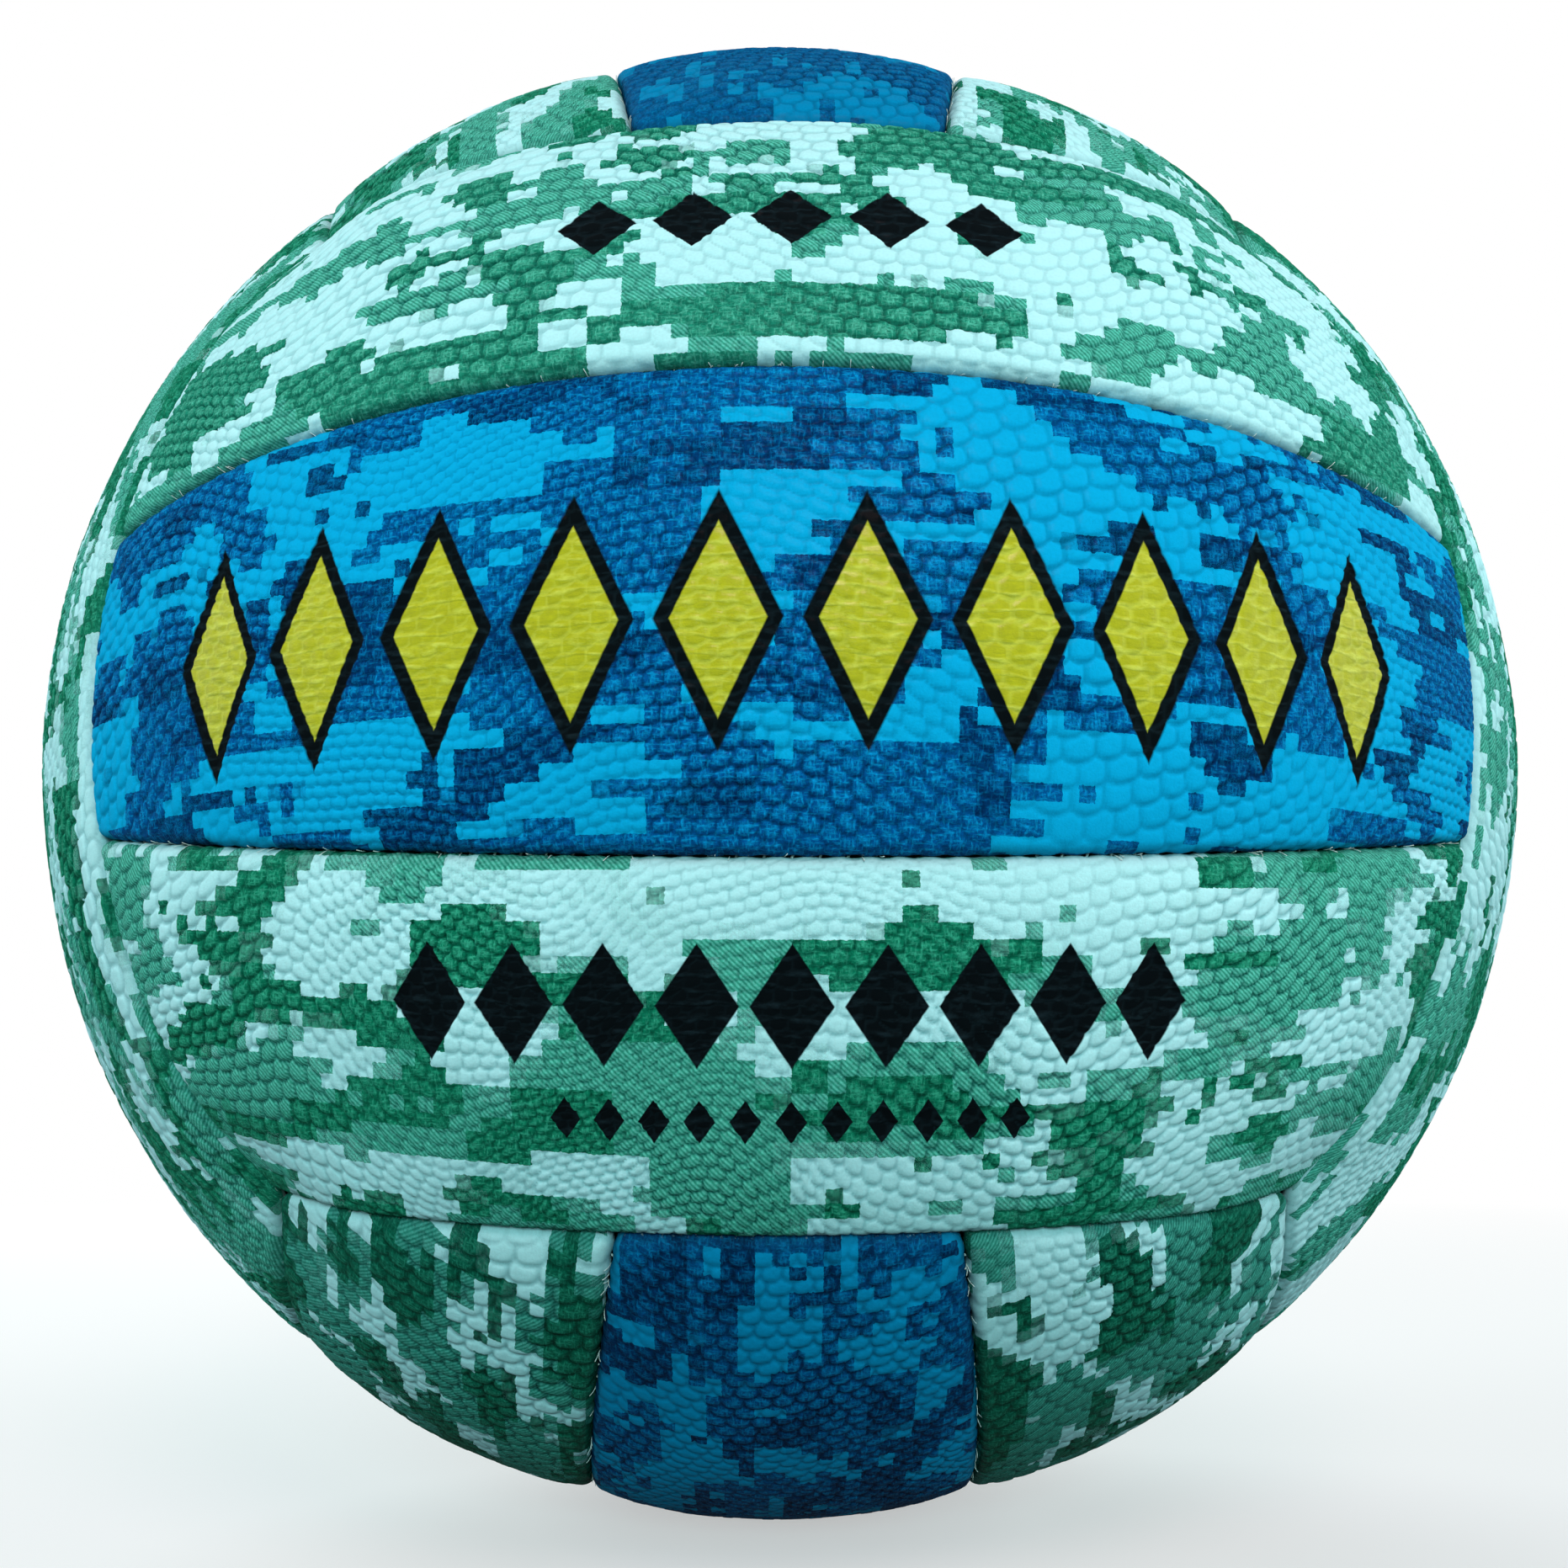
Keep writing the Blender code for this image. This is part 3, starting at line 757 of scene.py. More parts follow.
class Nodes:
    """The nodes of a material or world, made and linked in one call each."""

    def __init__(self, owner):
        self.owner = owner
        owner.use_nodes = True
        self.tree = owner.node_tree

    def make(self, kind, output, settings=(), **inputs):
        """A node of that kind, its settings and inputs set, and its named output."""
        node = self.tree.nodes.new("ShaderNode" + kind)
        for setting, value in settings:
            setattr(node, setting, value)
        for socket, value in inputs.items():
            self.put(node.inputs[int(socket[1:]) if socket[1:].isdigit() else socket], value)
        return node.outputs[output]

    def put(self, socket, value):
        if isinstance(value, bpy.types.NodeSocket):
            self.tree.links.new(value, socket)
        else:
            socket.default_value = value

    def math(self, operation, *values):
        inputs = {f"i{number}": value for number, value in enumerate(values)}
        return self.make("Math", 0, [("operation", operation)], **inputs)

    def vector(self, operation, *values):
        inputs = {f"i{number}": value for number, value in enumerate(values)}
        return self.make("VectorMath", 0, [("operation", operation)], **inputs)

    def attribute(self, name, output):
        return self.make("Attribute", output, [("attribute_name", name)])

    def mix(self, share, first, second, blend="MIX"):
        settings = [("data_type", "RGBA"), ("blend_type", blend)]
        return self.make("Mix", 2, settings, i0=share, i6=first, i7=second)

    def shaded(self, colour, level):
        """The colour made lighter or darker by a factor."""
        grey = self.make("CombineColor", 0, Red=level, Green=level, Blue=level)
        return self.mix(1.0, colour, grey, "MULTIPLY")

    def noise(self, place, scale, detail, roughness, output=0):
        return self.make("TexNoise", output, Vector=place, Scale=scale, Detail=detail, Roughness=roughness)

    def swing(self, noise, amount, onto=0.0):
        """A value moved up or down by a noise's distance from its middle."""
        return self.math("MULTIPLY_ADD", self.math("SUBTRACT", noise, 0.5), amount, onto)

    def step(self, value, level, softness):
        """From 0 to 1 as the value passes the level."""
        return self.make("MapRange", 0, i0=value, i1=level - softness, i2=level + softness)

    def length(self, place):
        return self.vector("LENGTH", place).node.outputs["Value"]

    def seen(self):
        """1 for what the camera sees, straight on, in a mirror or through glass, and 0 for what lights."""
        path = self.make("LightPath", 0).node.outputs
        either = self.math("MAXIMUM", path["Is Glossy Ray"], path["Is Transmission Ray"])
        return self.math("MAXIMUM", path["Is Camera Ray"], either)

    def finish(self, **inputs):
        """The material, with the inputs of its shader set. An underscore stands for a space."""
        shader = self.tree.nodes["Principled BSDF"]
        for socket, value in inputs.items():
            self.put(shader.inputs[socket.replace("_", " ")], value)
        return self.owner


def lozenge_nodes(nodes, u, v, row):
    """The same distance as lozenges gives."""
    pitch, count, half_width, half_height, middle, _ = row
    most = (count - 1) / 2
    number = nodes.math("ROUND", nodes.math("MULTIPLY_ADD", u, 1 / pitch, most))
    number = nodes.math("MINIMUM", nodes.math("MAXIMUM", number, 0.0), count - 1.0)
    centre = nodes.math("MULTIPLY_ADD", number, pitch, -most * pitch)
    off_u = nodes.math("ABSOLUTE", nodes.math("SUBTRACT", u, centre))
    off_v = nodes.math("ABSOLUTE", nodes.math("SUBTRACT", v, middle))
    return nodes.math("MULTIPLY_ADD", off_u, 1 / half_width, nodes.math("DIVIDE", off_v, half_height))


def pixel_layers(nodes, flat, seed, levels, run_share):
    """Where each of the two layers prints: pixels with ragged sides, in blots longer than wide."""
    rag = nodes.noise(flat, *RAG_NOISE, "Color")
    rag = nodes.vector("MULTIPLY", nodes.vector("SUBTRACT", rag, (0.5, 0.5, 0.5)), RAG)
    pixel = nodes.vector("MULTIPLY", nodes.vector("ADD", flat, rag), (1 / PIXEL,) * 3)
    pixel = nodes.vector("FLOOR", pixel)
    runs = [nodes.vector("FLOOR", nodes.vector("MULTIPLY", pixel, share)) for share in PIXEL_RUNS]
    for level, (shift, stretch) in zip(levels, (FIRST_BLOTS, SECOND_BLOTS)):
        height = nodes.math("MULTIPLY_ADD", seed, SEED_STEP, shift)
        lift = nodes.make("CombineXYZ", 0, X=shift, Y=0.0, Z=height)
        value = nodes.noise(nodes.vector("MULTIPLY_ADD", pixel, stretch, lift), *BLOT_NOISE)
        for run in runs:
            by_run = nodes.make("TexWhiteNoise", "Value", Vector=nodes.vector("ADD", run, lift))
            value = nodes.swing(by_run, run_share, value)
        yield nodes.step(value, level, BLOT_SOFTNESS)


def film_creases(nodes, flat, v, tops):
    """Ribs that cloth gives the film printed over it, creases, and painted highlights along the ribs and in
    the grooves between scales.
    """
    bend = nodes.noise(nodes.vector("MULTIPLY", flat, RIB_STRETCH), *RIB_NOISE)
    phase = nodes.math("MULTIPLY_ADD", v, math.tau / RIB_PITCH, nodes.math("MULTIPLY", bend, RIB_SWAY))
    rib = nodes.step(nodes.math("SINE", phase), *RIBS)
    creases = nodes.noise(nodes.vector("MULTIPLY", flat, CREASE_STRETCH), *CREASE_NOISE)
    lines = nodes.math("MULTIPLY", rib, nodes.step(creases, *CREASES))
    lines = nodes.math("MULTIPLY", lines, RIB_GLINT_SHARE)
    return rib, creases, nodes.math("MAXIMUM", lines, nodes.math("MULTIPLY", tops, -GROOVE_GLINT_SHARE))


def printed_sheet(name, inks, levels, hatched, prints=()):
    """Embossed sheet printed with pixels, each layer in two inks, with pale cloth at the raw edges."""
    nodes = Nodes(bpy.data.materials.new(name))
    base, first_light, first_dark, second_light, second_dark = inks
    edge = nodes.attribute("edge", "Fac")
    tops = nodes.attribute("tops", "Fac")
    u, v, seed = nodes.make("SeparateXYZ", 0, Vector=nodes.attribute("sheet", "Vector")).node.outputs
    flat = nodes.make("CombineXYZ", 0, X=u, Y=v, Z=0.0)
    run_share = GREEN_RUN_SHARE if hatched else BLUE_RUN_SHARE
    first, second = pixel_layers(nodes, flat, seed, levels, run_share)

    # The two layers, hatched or worn over the weave of the cloth, with more light specks on the scale tops:
    # partly worn ink, partly a painted sheen
    threads = [nodes.noise(nodes.vector("MULTIPLY", flat, s), *WEAVE_NOISE) for s in WEAVE_STRETCHES]
    weave = nodes.math("MULTIPLY_ADD", tops, TOP_WEAR_AND_SHEEN, nodes.math("MAXIMUM", *threads))
    specks = nodes.step(weave, *SPECKS)
    slant = nodes.math("MULTIPLY", nodes.math("ADD", u, v), math.tau / HATCH_PITCH / math.sqrt(2))
    hatch = nodes.step(nodes.math("SINE", slant), *HATCH)
    colour = nodes.mix(first, base, nodes.mix(hatch if hatched else specks, first_light, first_dark))
    colour = nodes.mix(second, colour, nodes.mix(specks, second_light, second_dark))
    inked = nodes.math("MAXIMUM", first, second)
    clouds = nodes.noise(flat, *CLOUD_NOISE)
    mottle = nodes.swing(clouds, CLOUD_SHADE, nodes.swing(nodes.noise(flat, *GRAIN_NOISE), GRAIN_SHADE))
    by_ink = nodes.math("MULTIPLY_ADD", inked, 1 - BARE_SHADE, BARE_SHADE)
    colour = nodes.shaded(colour, nodes.math("MULTIPLY_ADD", mottle, by_ink, 1.0))

    # Rows of lozenges, some with dark outlines round a yellow film
    printed = film = 0.0
    for row in prints:
        away = lozenge_nodes(nodes, u, v, row)
        inside = nodes.step(away, *PRINT_EDGE)
        printed = nodes.math("MAXIMUM", printed, inside)
        fill = INK_BLACK
        if row[5]:
            film = nodes.step(away, 1 - row[5] / row[2], FILM_SOFTNESS)
            worn = nodes.math("MULTIPLY_ADD", nodes.noise(flat, *WEAR_NOISE), *WEAR)
            fill = nodes.mix(film, INK_BLACK, nodes.shaded(YELLOW, worn))
        colour = nodes.mix(inside, colour, fill)

    # Cloth backing at the raw edge, with a few fibres pulled through along the seam, and painted shade that
    # darkens the sheet into the seam's crease
    fuzz = nodes.step(nodes.noise(flat, *FUZZ_NOISE), *FUZZ)
    pulled = nodes.math("MULTIPLY", fuzz, nodes.step(edge, *FUZZ_REACH))
    raw = nodes.step(edge, *RAW_EDGE)
    colour = nodes.mix(nodes.math("MAXIMUM", pulled, raw), colour, CLOTH)
    seam_shade = nodes.math("MULTIPLY", nodes.step(edge, *SEAM_SHADE_REACH), SEAM_SHADE_SHARE)
    colour = nodes.mix(seam_shade, colour, SEAM_SHADE)

    # Painted shade: the grooves between scales darkened, more on ink than on the bare sheet, and not on the
    # film
    groove = nodes.math("MAXIMUM", nodes.math("MULTIPLY", tops, -1.0), 0.0)
    by_ink = nodes.math("MULTIPLY_ADD", inked, 1 - BARE_GROOVE_SHADE, BARE_GROOVE_SHADE)
    groove = nodes.math("MULTIPLY", groove, by_ink)
    groove = nodes.math("MULTIPLY", groove, nodes.math("SUBTRACT", 1.0, film))
    colour = nodes.mix(groove, colour, GROOVE_SHADE_TINT, "MULTIPLY")

    height = nodes.math("MULTIPLY_ADD", clouds, CLOUD_RELIEF, nodes.noise(flat, *PORE_NOISE))
    if prints:
        rib, creases, lines = film_creases(nodes, flat, v, tops)
        # Painted highlights: light lines on the print's ribs and grooves, weaker on black
        strength = nodes.math("MULTIPLY_ADD", film, 1 - BLACK_GLINT_SHARE, BLACK_GLINT_SHARE)
        lines = nodes.math("MULTIPLY", lines, nodes.math("MULTIPLY", printed, strength))
        colour = nodes.mix(lines, colour, nodes.mix(film, BLACK_GLINT_COLOUR, YELLOW_GLINT_COLOUR))
        for relief, place, amount in ((creases, film, CREASE_RELIEF), (rib, printed, RIB_RELIEF)):
            height = nodes.math("MULTIPLY_ADD", nodes.math("MULTIPLY", relief, place), amount, height)
    normal = nodes.make("Bump", 0, Height=height, **SHEET_BUMP)
    coat = SHEET_COAT
    if any(row[5] for row in prints):
        coat = nodes.math("MULTIPLY_ADD", film, FILM_COAT, SHEET_COAT)
    return nodes.finish(
        Base_Color=colour, Normal=normal, Roughness=0.5,
        Specular_IOR_Level=0.0, Coat_Weight=coat, Coat_Roughness=0.25,
    )


def mottled(name, colours, scale, roughness, bump=0.0):
    """A plain moulded material, with colour and surface that vary a little."""
    nodes = Nodes(bpy.data.materials.new(name))
    place = nodes.make("TexCoord", "Object")
    if bump:
        fine = nodes.noise(place, scale * MOULD_FINENESS, *MOULD_NOISE)
        nodes.finish(Normal=nodes.make("Bump", 0, Strength=bump, Distance=MOULD_RELIEF, Height=fine))
    clouds = nodes.step(nodes.noise(place, scale, *MOTTLE_NOISE), *MOTTLE)
    return nodes.finish(Base_Color=nodes.mix(clouds, *colours), Roughness=roughness)


def open_foam():
    """Pale foam with pores of two sizes, painted in as darker spots of shade."""
    nodes = Nodes(bpy.data.materials.new("foam"))
    place = nodes.make("TexCoord", "Object")
    colour = nodes.mix(nodes.step(nodes.noise(place, FOAM_SCALE, *MOTTLE_NOISE), *MOTTLE), *FOAM_COLOURS)
    # Painted shade: the pores are darker spots, not holes
    for scale, depth in FOAM_PORES:
        pore = nodes.step(nodes.make("TexVoronoi", "Distance", Vector=place, Scale=scale), *PORE_EDGE)
        colour = nodes.mix(nodes.math("MULTIPLY", pore, depth), colour, FOAM_PORE)
    return nodes.finish(Base_Color=colour, Roughness=0.95)


def twisted_thread():
    """White thread, with painted shade that darkens it deep in the creases."""
    nodes = Nodes(bpy.data.materials.new("sewing_thread"))
    place = nodes.attribute("sheet", "Vector")
    colour = nodes.mix(nodes.step(nodes.noise(place, *STRAND_NOISE), *STRANDS), *THREAD_COLOURS)
    shallow = nodes.step(nodes.length(place), *THREAD_SHALLOW)
    return nodes.finish(Base_Color=nodes.mix(shallow, THREAD_CREASE_SHADE, colour), Roughness=0.8)


# Panels with a sheet of their own, then the rest: inks, levels above which the layers print, hatching
SHEETS = {
    title: printed_sheet(name, inks, levels, hatched, PRINTS.get(title, ()))
    for title, name, inks, levels, hatched in (
        # Lighter inks on the upper strip: painted light
        ("front_upper", "green_sheet_upper_print_lit", UPPER_LIT_INKS, (0.552, 0.57), True),
        ("front_middle", "blue_sheet_print", BLUE_INKS, (0.503, 0.605), False),
        ("front_lower", "green_sheet_lower_print", GREEN_INKS, (0.52, 0.552), True),
        # Darker inks on the top and bottom panels: painted shade
        ("top_middle", "blue_sheet_top_shaded", TOP_BLUE_SHADED_INKS, (0.455, 0.56), False),
        ("bottom_left", "green_sheet_bottom_shaded", BOTTOM_SHADED_INKS, (0.474, 0.523), True),
        ("bottom_middle", "blue_sheet_bottom_shaded", BOTTOM_BLUE_SHADED_INKS, (0.488, 0.572), False),
        ("side", "green_sheet", GREEN_INKS, (0.507, 0.547), True),
        ("middle", "blue_sheet", BLUE_INKS, (0.502, 0.6), False),
    )
}
SHEETS["bottom_right"] = SHEETS["bottom_left"]
FOAM = open_foam()
THREAD = twisted_thread()
BLADDER = mottled("bladder_rubber", BLADDER_COLOURS, 90.0, 0.6)
VALVE = mottled("valve_rubber", VALVE_COLOURS, 700.0, 0.5, 0.35)


# Panels and foam

def joined(bodies):
    """Separate closed bodies in one set of points, quads and triangles."""
    starts = np.cumsum([0] + [len(points) for points, _, _ in bodies[:-1]])
    points = np.concatenate([body[0] for body in bodies])
    quads = np.concatenate([body[1] + start for body, start in zip(bodies, starts)])
    triangles = np.concatenate([body[2] + start for body, start in zip(bodies, starts)])
    return points, quads, triangles


def placed(points, axes, half_turn):
    """Points of a face's own axes in the ball's."""
    if half_turn:
        points = points * (-1, -1, 1)
    return points @ axes


def dress_face(number, face):
    """The three covers of a face, and the padding behind them."""
    name, axis, side, first_side, second_side = face
    axes = face_axes(axis, side)
    places = (
        (first_side, SIDE_STRIP, False),
        ("middle", MIDDLE_STRIP, False),
        (second_side, SIDE_STRIP, True),
    )
    hem_depth = CROWN_HEIGHT + EDGE_RADIUS + HEM_LENGTH
    pads = []
    for step, (place, strip, half_turn) in enumerate(places):
        title = f"{name}_{place}"
        middle = strip is MIDDLE_STRIP
        rows = MIDDLE_STRIP_ROWS if middle else SIDE_STRIP_ROWS
        pierced = middle and name == "back"
        seed = 3 * number + step + 1
        relief = sheet_relief(
            seed, PRINTS.get(title, ()), -1 if half_turn else 1,
            ROW_TURNS.get(name, 0), SCALE_SIZES.get(title, 1.0), ROW_WAVES.get(title, 1.0),
        )
        skin = pad_arrays(
            strip, STRIP_COLUMNS, rows, SEAM_GAP / 2, CROWN_HEIGHT, BEND_RADIUS,
            ((SEAM_GAP / 2, hem_depth), (SEAM_GAP / 2 + SKIN_THICKNESS, hem_depth)),
            (EDGE_RADIUS, CROWN_HEIGHT + SKIN_THICKNESS, CROWN_HEIGHT),
            HOLE_CELLS * pierced,
            relief,
        )
        sheet = np.column_stack((skin["sheet"], np.full(len(skin["sheet"]), float(seed))))
        panel = make_piece(
            title + "_cover", placed(skin["points"], axes, half_turn), skin["quads"], skin["triangles"],
            SHEETS.get(title, SHEETS["middle" if middle else "side"]),
            (("sheet", sheet), ("edge", skin["edge"]), ("tops", skin["tops"])), skin["uv"],
        )
        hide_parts(title + "_panel")

        pad = pad_arrays(
            strip, FOAM_COLUMNS, FOAM_ROWS, FOAM_INSET, FOAM_TOP_DEPTH, FOAM_EDGE_RADIUS,
            ((FOAM_INSET, FOAM_DEPTH),), (FOAM_UNDER_INSET, FOAM_DEPTH, 0), FOAM_HOLE_CELLS * pierced,
        )
        pads.append((placed(pad["points"], axes, half_turn), pad["quads"], pad["triangles"]))

    foam = make_piece(name + "_padding", *joined(pads), FOAM)
    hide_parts(*(f"{name}_{place}_foam" for place, _, _ in places))


# Thread

def unit(vectors):
    """Vectors brought to length 1."""
    return vectors / np.linalg.norm(vectors, axis=-1, keepdims=True)


def distances(path):
    """How far along a path each of its points is."""
    return np.concatenate(([0], np.cumsum(np.linalg.norm(np.diff(path, axis=0), axis=1))))


def ring_faces(index, tips=()):
    """Quads between rings of points, and triangles to the two tips that close their ends."""
    ahead = np.roll(index, -1, axis=1)
    quads = np.stack((index[:-1], ahead[:-1], ahead[1:], index[1:]), -1).reshape(-1, 4)
    caps = [np.empty((0, 3), int)]
    for tip, one, two in zip(tips, (ahead[0], index[-1]), (index[0], ahead[-1])):
        caps.append(np.stack((np.full_like(one, tip), one, two), -1))
    return quads, np.concatenate(caps)


def tube(path, radius, sides, twist=0.0):
    """A closed round thread along a path, with a light twist of three plies."""
    tangent = unit(np.gradient(path, axis=0))
    across = unit(np.cross(unit(path), tangent))
    out = np.cross(tangent, across)
    turn = np.arange(sides) * math.tau / sides
    plies = np.cos(PLIES * (turn[None, :] - twist * distances(path)[:, None]))
    reach = radius * (1 - PLY_DEPTH + PLY_DEPTH * plies)
    points = path[:, None, :] + reach[..., None] * (
        np.cos(turn)[None, :, None] * across[:, None, :] + np.sin(turn)[None, :, None] * out[:, None, :]
    )
    index = np.arange(len(path) * sides).reshape(len(path), sides)
    points = np.concatenate((points.reshape(-1, 3), path[:1], path[-1:]))
    return points, *ring_faces(index, (index.size, index.size + 1))


def seam_path(across, steps):
    """Directions along one long edge of a side strip, in the face's own axes."""
    return strip_directions(SIDE_STRIP, np.linspace(0, 1, steps), np.full(steps, float(across)), 0)


def frame_at(line, run, at):
    """A point of a seam, and the directions out of the ball, along the seam and across it."""
    here, ahead = (np.array([np.interp(x, run, axis) for axis in line.T]) for x in (at, at + LOOK_AHEAD))
    out, along = unit(here), unit(ahead - here)
    return here, out, along, np.cross(out, along)


def stitches(directions, seed):
    """Short bars of thread across the crease, spaced along a seam."""
    chance = np.random.default_rng(seed + 900)
    line = drawn_in(directions * (RADIUS - CROWN_HEIGHT - STITCH_DEPTH))
    run = distances(line)
    count = int(run[-1] / STITCH_PITCH)
    shares = np.linspace(-1, 1, 5)
    for number in range(count):
        at = (number + 0.5) * run[-1] / count
        if not CORNER_ROUND < at < run[-1] - CORNER_ROUND:
            continue
        centre, out, along, across = frame_at(line, run, at)
        across = across + along * chance.uniform(*STITCH_SLANT)
        lift = chance.uniform(*STITCH_LIFT) + STITCH_BOW * (1 - shares**2)
        path = centre + np.outer(shares * STITCH_REACH, across) + np.outer(lift, out)
        yield tube(path, STITCH_RADIUS, 6)


def fibres(directions, seed):
    """Loose ends of backing cloth that stand up out of the crease, in tufts along a seam."""
    chance = np.random.default_rng(seed + 1300)
    line = drawn_in(directions * (RADIUS - CROWN_HEIGHT - FIBRE_DEPTH))
    run = distances(line)
    phases = chance.uniform(0, math.tau, 2)
    shares = np.linspace(0, 1, 4)
    for at in chance.uniform(CORNER_ROUND, run[-1] - CORNER_ROUND, int(run[-1] / FIBRE_PITCH)):
        waves = [math.sin(at / size + phase) for size, phase in zip(TUFT_LENGTHS, phases)]
        tuft = 0.5 + 0.5 * waves[0] * waves[1]
        rise = FIBRE_DEPTH * chance.uniform(*FIBRE_RISE)
        side = chance.choice((-1, 1)) * chance.uniform(*FIBRE_LEAN)
        drift = chance.uniform(*FIBRE_DRIFT)
        if chance.uniform() > FIBRE_SHARE + (1 - FIBRE_SHARE) * tuft:
            continue
        root, out, along, across = frame_at(line, run, at)
        path = root + np.outer(rise * shares, out) + np.outer(drift * shares**2, along)
        yield tube(path + np.outer(side * shares**2, across), FIBRE_RADIUS, 4)


def seam(paths, seed):
    """The bodies of one seam: its stitches and the thread that runs under them."""
    bodies = []
    for step, directions in enumerate(paths):
        bodies.extend(stitches(directions, seed + step))
    whole = np.concatenate([paths[0]] + [path[1:] for path in paths[1:]])
    whole = drawn_in(whole * (RADIUS - THREAD_DEPTH))
    bodies.append(tube(whole[2:-2], THREAD_RADIUS, 9, THREAD_TWIST))
    return bodies


def sew(name, bodies, nodes):
    """One piece of stitching, in place of the CAD threads that it stands for."""
    points, quads, caps = joined(bodies)
    made = make_piece(name, points, quads, caps, THREAD, (("sheet", points),))
    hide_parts(*nodes)


def sew_ball():
    """The seams between the strips of each pair of faces, then those between faces."""
    seed = 0
    for pair in (FACES[0:2], FACES[2:4], FACES[4:6]):
        bodies, nodes = [], []
        for name, axis, side, first_side, second_side in pair:
            axes = face_axes(axis, side)
            for place, half_turn in ((first_side, False), (second_side, True)):
                path = placed(seam_path(0, STRIP_SEAM_STEPS), axes, half_turn)
                bodies += seam([path], seed)
                bodies += fibres(path, seed)
                nodes.append(f"{name}_{place}_seam_thread")
                seed += 1
        sew(f"{pair[0][0]}_and_{pair[1][0]}_stitching", bodies, nodes)

    bodies, nodes = [], []
    along, across, out = seam_path(1, FACE_SEAM_STEPS).T
    for y_side in (-1, 1):
        for z_side in (-1, 1):
            corner = [y_side * z_side, y_side, z_side]
            paths = []
            for axis in range(3):
                path = np.empty((FACE_SEAM_STEPS, 3))
                path[:, axis] = -along * corner[axis]
                path[:, (axis + 1) % 3] = out * corner[(axis + 1) % 3]
                path[:, (axis + 2) % 3] = across * corner[(axis + 2) % 3]
                paths.append(path)
                corner[axis] = -corner[axis]
            bodies += seam(paths, seed)
            nodes.append(f"edge_seam_thread_{len(nodes) + 1}")
            seed += 3
    sew("edge_stitching", bodies, nodes)


# Bladder and valve

BLADDER_RIDGE = 0.12
BLADDER_RIDGE_ANGLE = 0.012
HOUSING_ROUND = 0.3
CORE_ROUND = 0.2


def rounded(profile, radius, steps=4):
    """The profile's points with each corner between straight runs replaced by a small bend."""
    made = [profile[0]]
    for before, here, after in zip(profile, profile[1:], profile[2:]):
        before, here, after = np.array(before), np.array(here), np.array(after)
        into, out = before - here, after - here
        cut = min(radius, 0.45 * np.linalg.norm(into), 0.45 * np.linalg.norm(out))
        start, end = here + unit(into) * cut, here + unit(out) * cut
        for share in np.linspace(0, 1, steps):
            made.append(tuple((1 - share) ** 2 * start + 2 * share * (1 - share) * here + share**2 * end))
    return made + [profile[-1]]


def turned(name, profile, steps, material):
    """A profile of (radius, height) points turned round the valve's axis.

    It is closed at the axis or on itself, and goes up on its outside.
    """
    profile = np.array(profile)
    turn = np.arange(steps)[None, :] * math.tau / steps
    on_axis = profile[:, 0] < 1e-9
    ring = profile[~on_axis]
    points = (ring[:, :1] * np.cos(turn), ring[:, :1] * np.sin(turn), ring[:, 1:] + 0 * turn)
    points = np.stack(points, -1).reshape(-1, 3)
    index = np.arange(len(ring) * steps).reshape(len(ring), steps)
    tips = ()
    if on_axis.any():
        tips = (index.size, index.size + 1)
        points = np.concatenate((points, [(0, 0, profile[0, 1]), (0, 0, profile[-1, 1])]))
    else:
        index = np.concatenate((index, index[:1]))
    quads, triangles = ring_faces(index, tips)
    made = make_piece(name + "_moulded", points @ face_axes(0, 1), quads, triangles, material)
    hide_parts(name)


def dress_inside():
    """The bladder, with the low ridge of its mould, and the two pieces of the valve."""
    arcs = []
    for radius, ridge in ((BLADDER_RADIUS, BLADDER_RIDGE), (BLADDER_RADIUS - BLADDER_WALL, 0.0)):
        angles = np.linspace(math.pi, math.asin(NECK_HOLE_RADIUS / radius), 73)
        reach = radius + ridge * np.exp(-(((angles - math.pi / 2) / BLADDER_RIDGE_ANGLE) ** 2))
        arc = list(zip(reach * np.sin(angles), reach * np.cos(angles)))
        arcs.append([(0.0, -radius)] + arc[1:])
    turned("bladder", arcs[0] + arcs[1][::-1], 128, BLADDER)

    seat = NECK_TOP - SEAT_DEPTH
    tail_bottom = FLANGE_BOTTOM - TAIL_LENGTH
    housing = (
        (BORE_RADIUS, tail_bottom), (TAIL_RADIUS, tail_bottom), (TAIL_RADIUS, FLANGE_BOTTOM),
        (FLANGE_RADIUS, FLANGE_BOTTOM), (FLANGE_RADIUS, FLANGE_BOTTOM + FLANGE_THICKNESS),
        (NECK_RADIUS, FLANGE_TOP_AT_NECK), (NECK_RADIUS, NECK_TOP), (SEAT_RADIUS, NECK_TOP),
        (SEAT_RADIUS, seat), (BORE_RADIUS, seat), (BORE_RADIUS, tail_bottom),
    )
    turned("valve_housing", rounded(housing, HOUSING_ROUND)[:-1], 72, VALVE)

    head, shank = SEAT_RADIUS - CLEARANCE, BORE_RADIUS - CLEARANCE
    head_bottom = seat + CLEARANCE
    plug_top = tail_bottom - CLEARANCE
    plug_bottom = plug_top - PLUG_LENGTH
    channel_bottom = plug_bottom + CHANNEL_WALL
    core = (
        (0.0, plug_bottom), (PLUG_RADIUS - PLUG_CHAMFER, plug_bottom),
        (PLUG_RADIUS, plug_bottom + PLUG_CHAMFER), (PLUG_RADIUS, plug_top), (shank, plug_top),
        (shank, head_bottom), (head, head_bottom), (head, NECK_TOP), (CHANNEL_RADIUS, NECK_TOP),
        (CHANNEL_RADIUS, channel_bottom), (0.0, channel_bottom),
    )
    turned("valve_core", rounded(core, CORE_ROUND), 64, VALVE)


# Stage, in metres

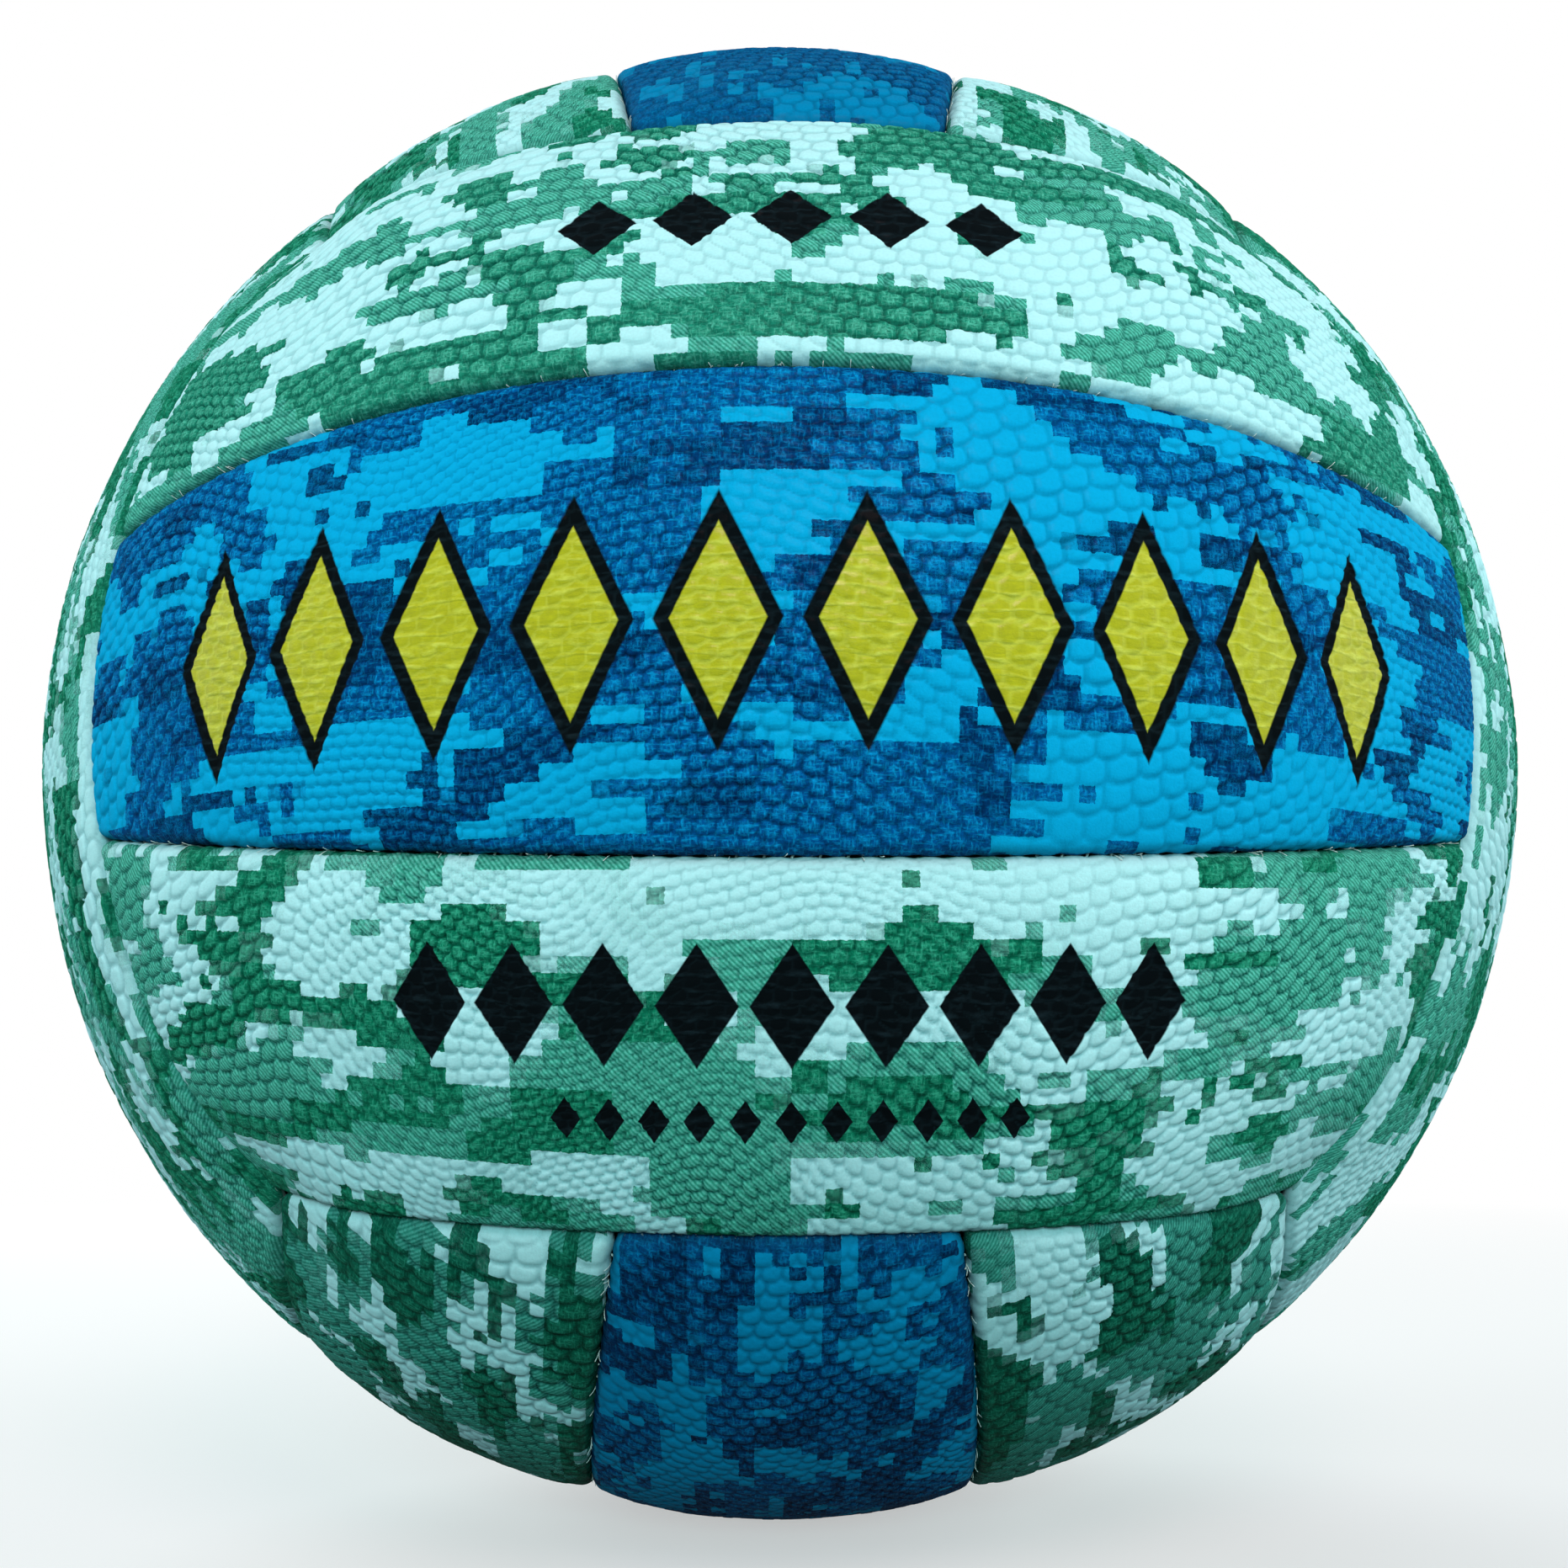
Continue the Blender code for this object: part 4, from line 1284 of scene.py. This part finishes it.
FLOOR_HALF = 6.0
FLOOR_FADE = (0.5, 0.4)
FLOOR_NEAR_WHITE = 0.48
FLOOR_SEEN = (0.93, 0.94, 0.94, 1)
FLOOR_LIT = (0.07, 0.08, 0.08, 1)
WHITE = (1, 1, 1, 1)
WORLD_COLOUR = (0.55, 0.96, 1.0, 1)
WORLD_STRENGTH = 0.1

# Lamps: place, size, power, colour, and whether glossy surfaces mirror them
LAMPS = (
    ("key", (0.13, -1.0, 0.78), 0.5, 5.6, (1.0, 0.6, 0.6), True),
    ("fill", (0.06, -1.25, 0.2), 0.4, 9.8, (0.56, 0.99, 1.0), False),
    ("behind", (-0.4, 1.1, 0.55), 0.9, 12.5, (0.9, 1.0, 1.0), False),
    ("beside_left", (-1.15, -0.1, 0.35), 0.8, 7.0, (0.8, 0.98, 1.0), False),
    ("beside_right", (1.15, -0.1, 0.35), 0.8, 7.0, (0.8, 0.98, 1.0), False),
)
CAMERA_PLACE = (-0.0033, -0.2725, -0.0489)
CAMERA_AIM = (0.0006, 0.0, -0.0002)
CAMERA_LENS = 41.27


def floor_material():
    """A pale floor that keeps the ball's shadow near it and fades to the backdrop's white."""
    nodes = Nodes(bpy.data.materials.new("floor"))
    seen = nodes.seen()
    far = nodes.step(nodes.length(nodes.make("NewGeometry", "Position")), *FLOOR_FADE)
    share = nodes.math("MULTIPLY_ADD", far, 1 - FLOOR_NEAR_WHITE, FLOOR_NEAR_WHITE)
    white = nodes.make("Emission", 0, Color=WHITE, Strength=1.0)
    plain = nodes.tree.nodes["Principled BSDF"].outputs[0]
    mixed = nodes.make("MixShader", 0, i0=nodes.math("MULTIPLY", share, seen), i1=plain, i2=white)
    nodes.put(nodes.tree.nodes["Material Output"].inputs["Surface"], mixed)
    colour = nodes.mix(seen, FLOOR_LIT, FLOOR_SEEN)
    return nodes.finish(Base_Color=colour, Roughness=0.9, Specular_IOR_Level=0.0)


def studio_world():
    """Weak cool light from all round, behind a backdrop that is seen as white."""
    nodes = Nodes(bpy.data.worlds.new("studio"))
    soft = nodes.make("Background", 0, Color=WORLD_COLOUR, Strength=WORLD_STRENGTH)
    white = nodes.make("Background", 0, Color=WHITE, Strength=1.0)
    mixed = nodes.make("MixShader", 0, i0=nodes.seen(), i1=soft, i2=white)
    nodes.put(nodes.tree.nodes["World Output"].inputs["Surface"], mixed)
    return nodes.owner


def add_aimed(name, data, place, target):
    """A lamp or camera that looks at its target."""
    made = bpy.data.objects.new(name, data)
    bpy.context.scene.collection.objects.link(made)
    made.location = place
    made.rotation_euler = (Vector(target) - Vector(place)).to_track_quat("-Z", "Y").to_euler()
    return made


def set_stage():
    """The floor, lamps, backdrop and camera."""
    scene = bpy.context.scene
    mesh = bpy.data.meshes.new("floor")
    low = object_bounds()[0][2]
    corners = [(x * FLOOR_HALF, y * FLOOR_HALF, low) for x, y in ((-1, -1), (1, -1), (1, 1), (-1, 1))]
    mesh.from_pydata(corners, [], [(0, 1, 2, 3)])
    mesh.materials.append(floor_material())
    floor = bpy.data.objects.new("floor", mesh)
    scene.collection.objects.link(floor)
    floor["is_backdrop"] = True

    for name, place, size, power, colour, mirrored in LAMPS:
        light = bpy.data.lights.new(name, "AREA")
        light.shape = "DISK"
        light.size = size
        light.energy = power
        light.color = colour
        add_aimed(name, light, place, (0, 0, 0)).visible_glossy = mirrored
    scene.world = studio_world()

    camera = bpy.data.cameras.new("camera")
    camera.sensor_width = 36.0
    camera.lens = CAMERA_LENS
    camera.clip_start = 0.01
    scene.camera = add_aimed("camera", camera, CAMERA_PLACE, CAMERA_AIM)
    scene.view_settings.view_transform = "Standard"


for face_number, face in enumerate(FACES):
    dress_face(face_number, face)
sew_ball()
dress_inside()
set_stage()

boxes = {"cad": cad_box, "visual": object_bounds()}
{name: [list(corner) for corner in box] for name, box in boxes.items()}
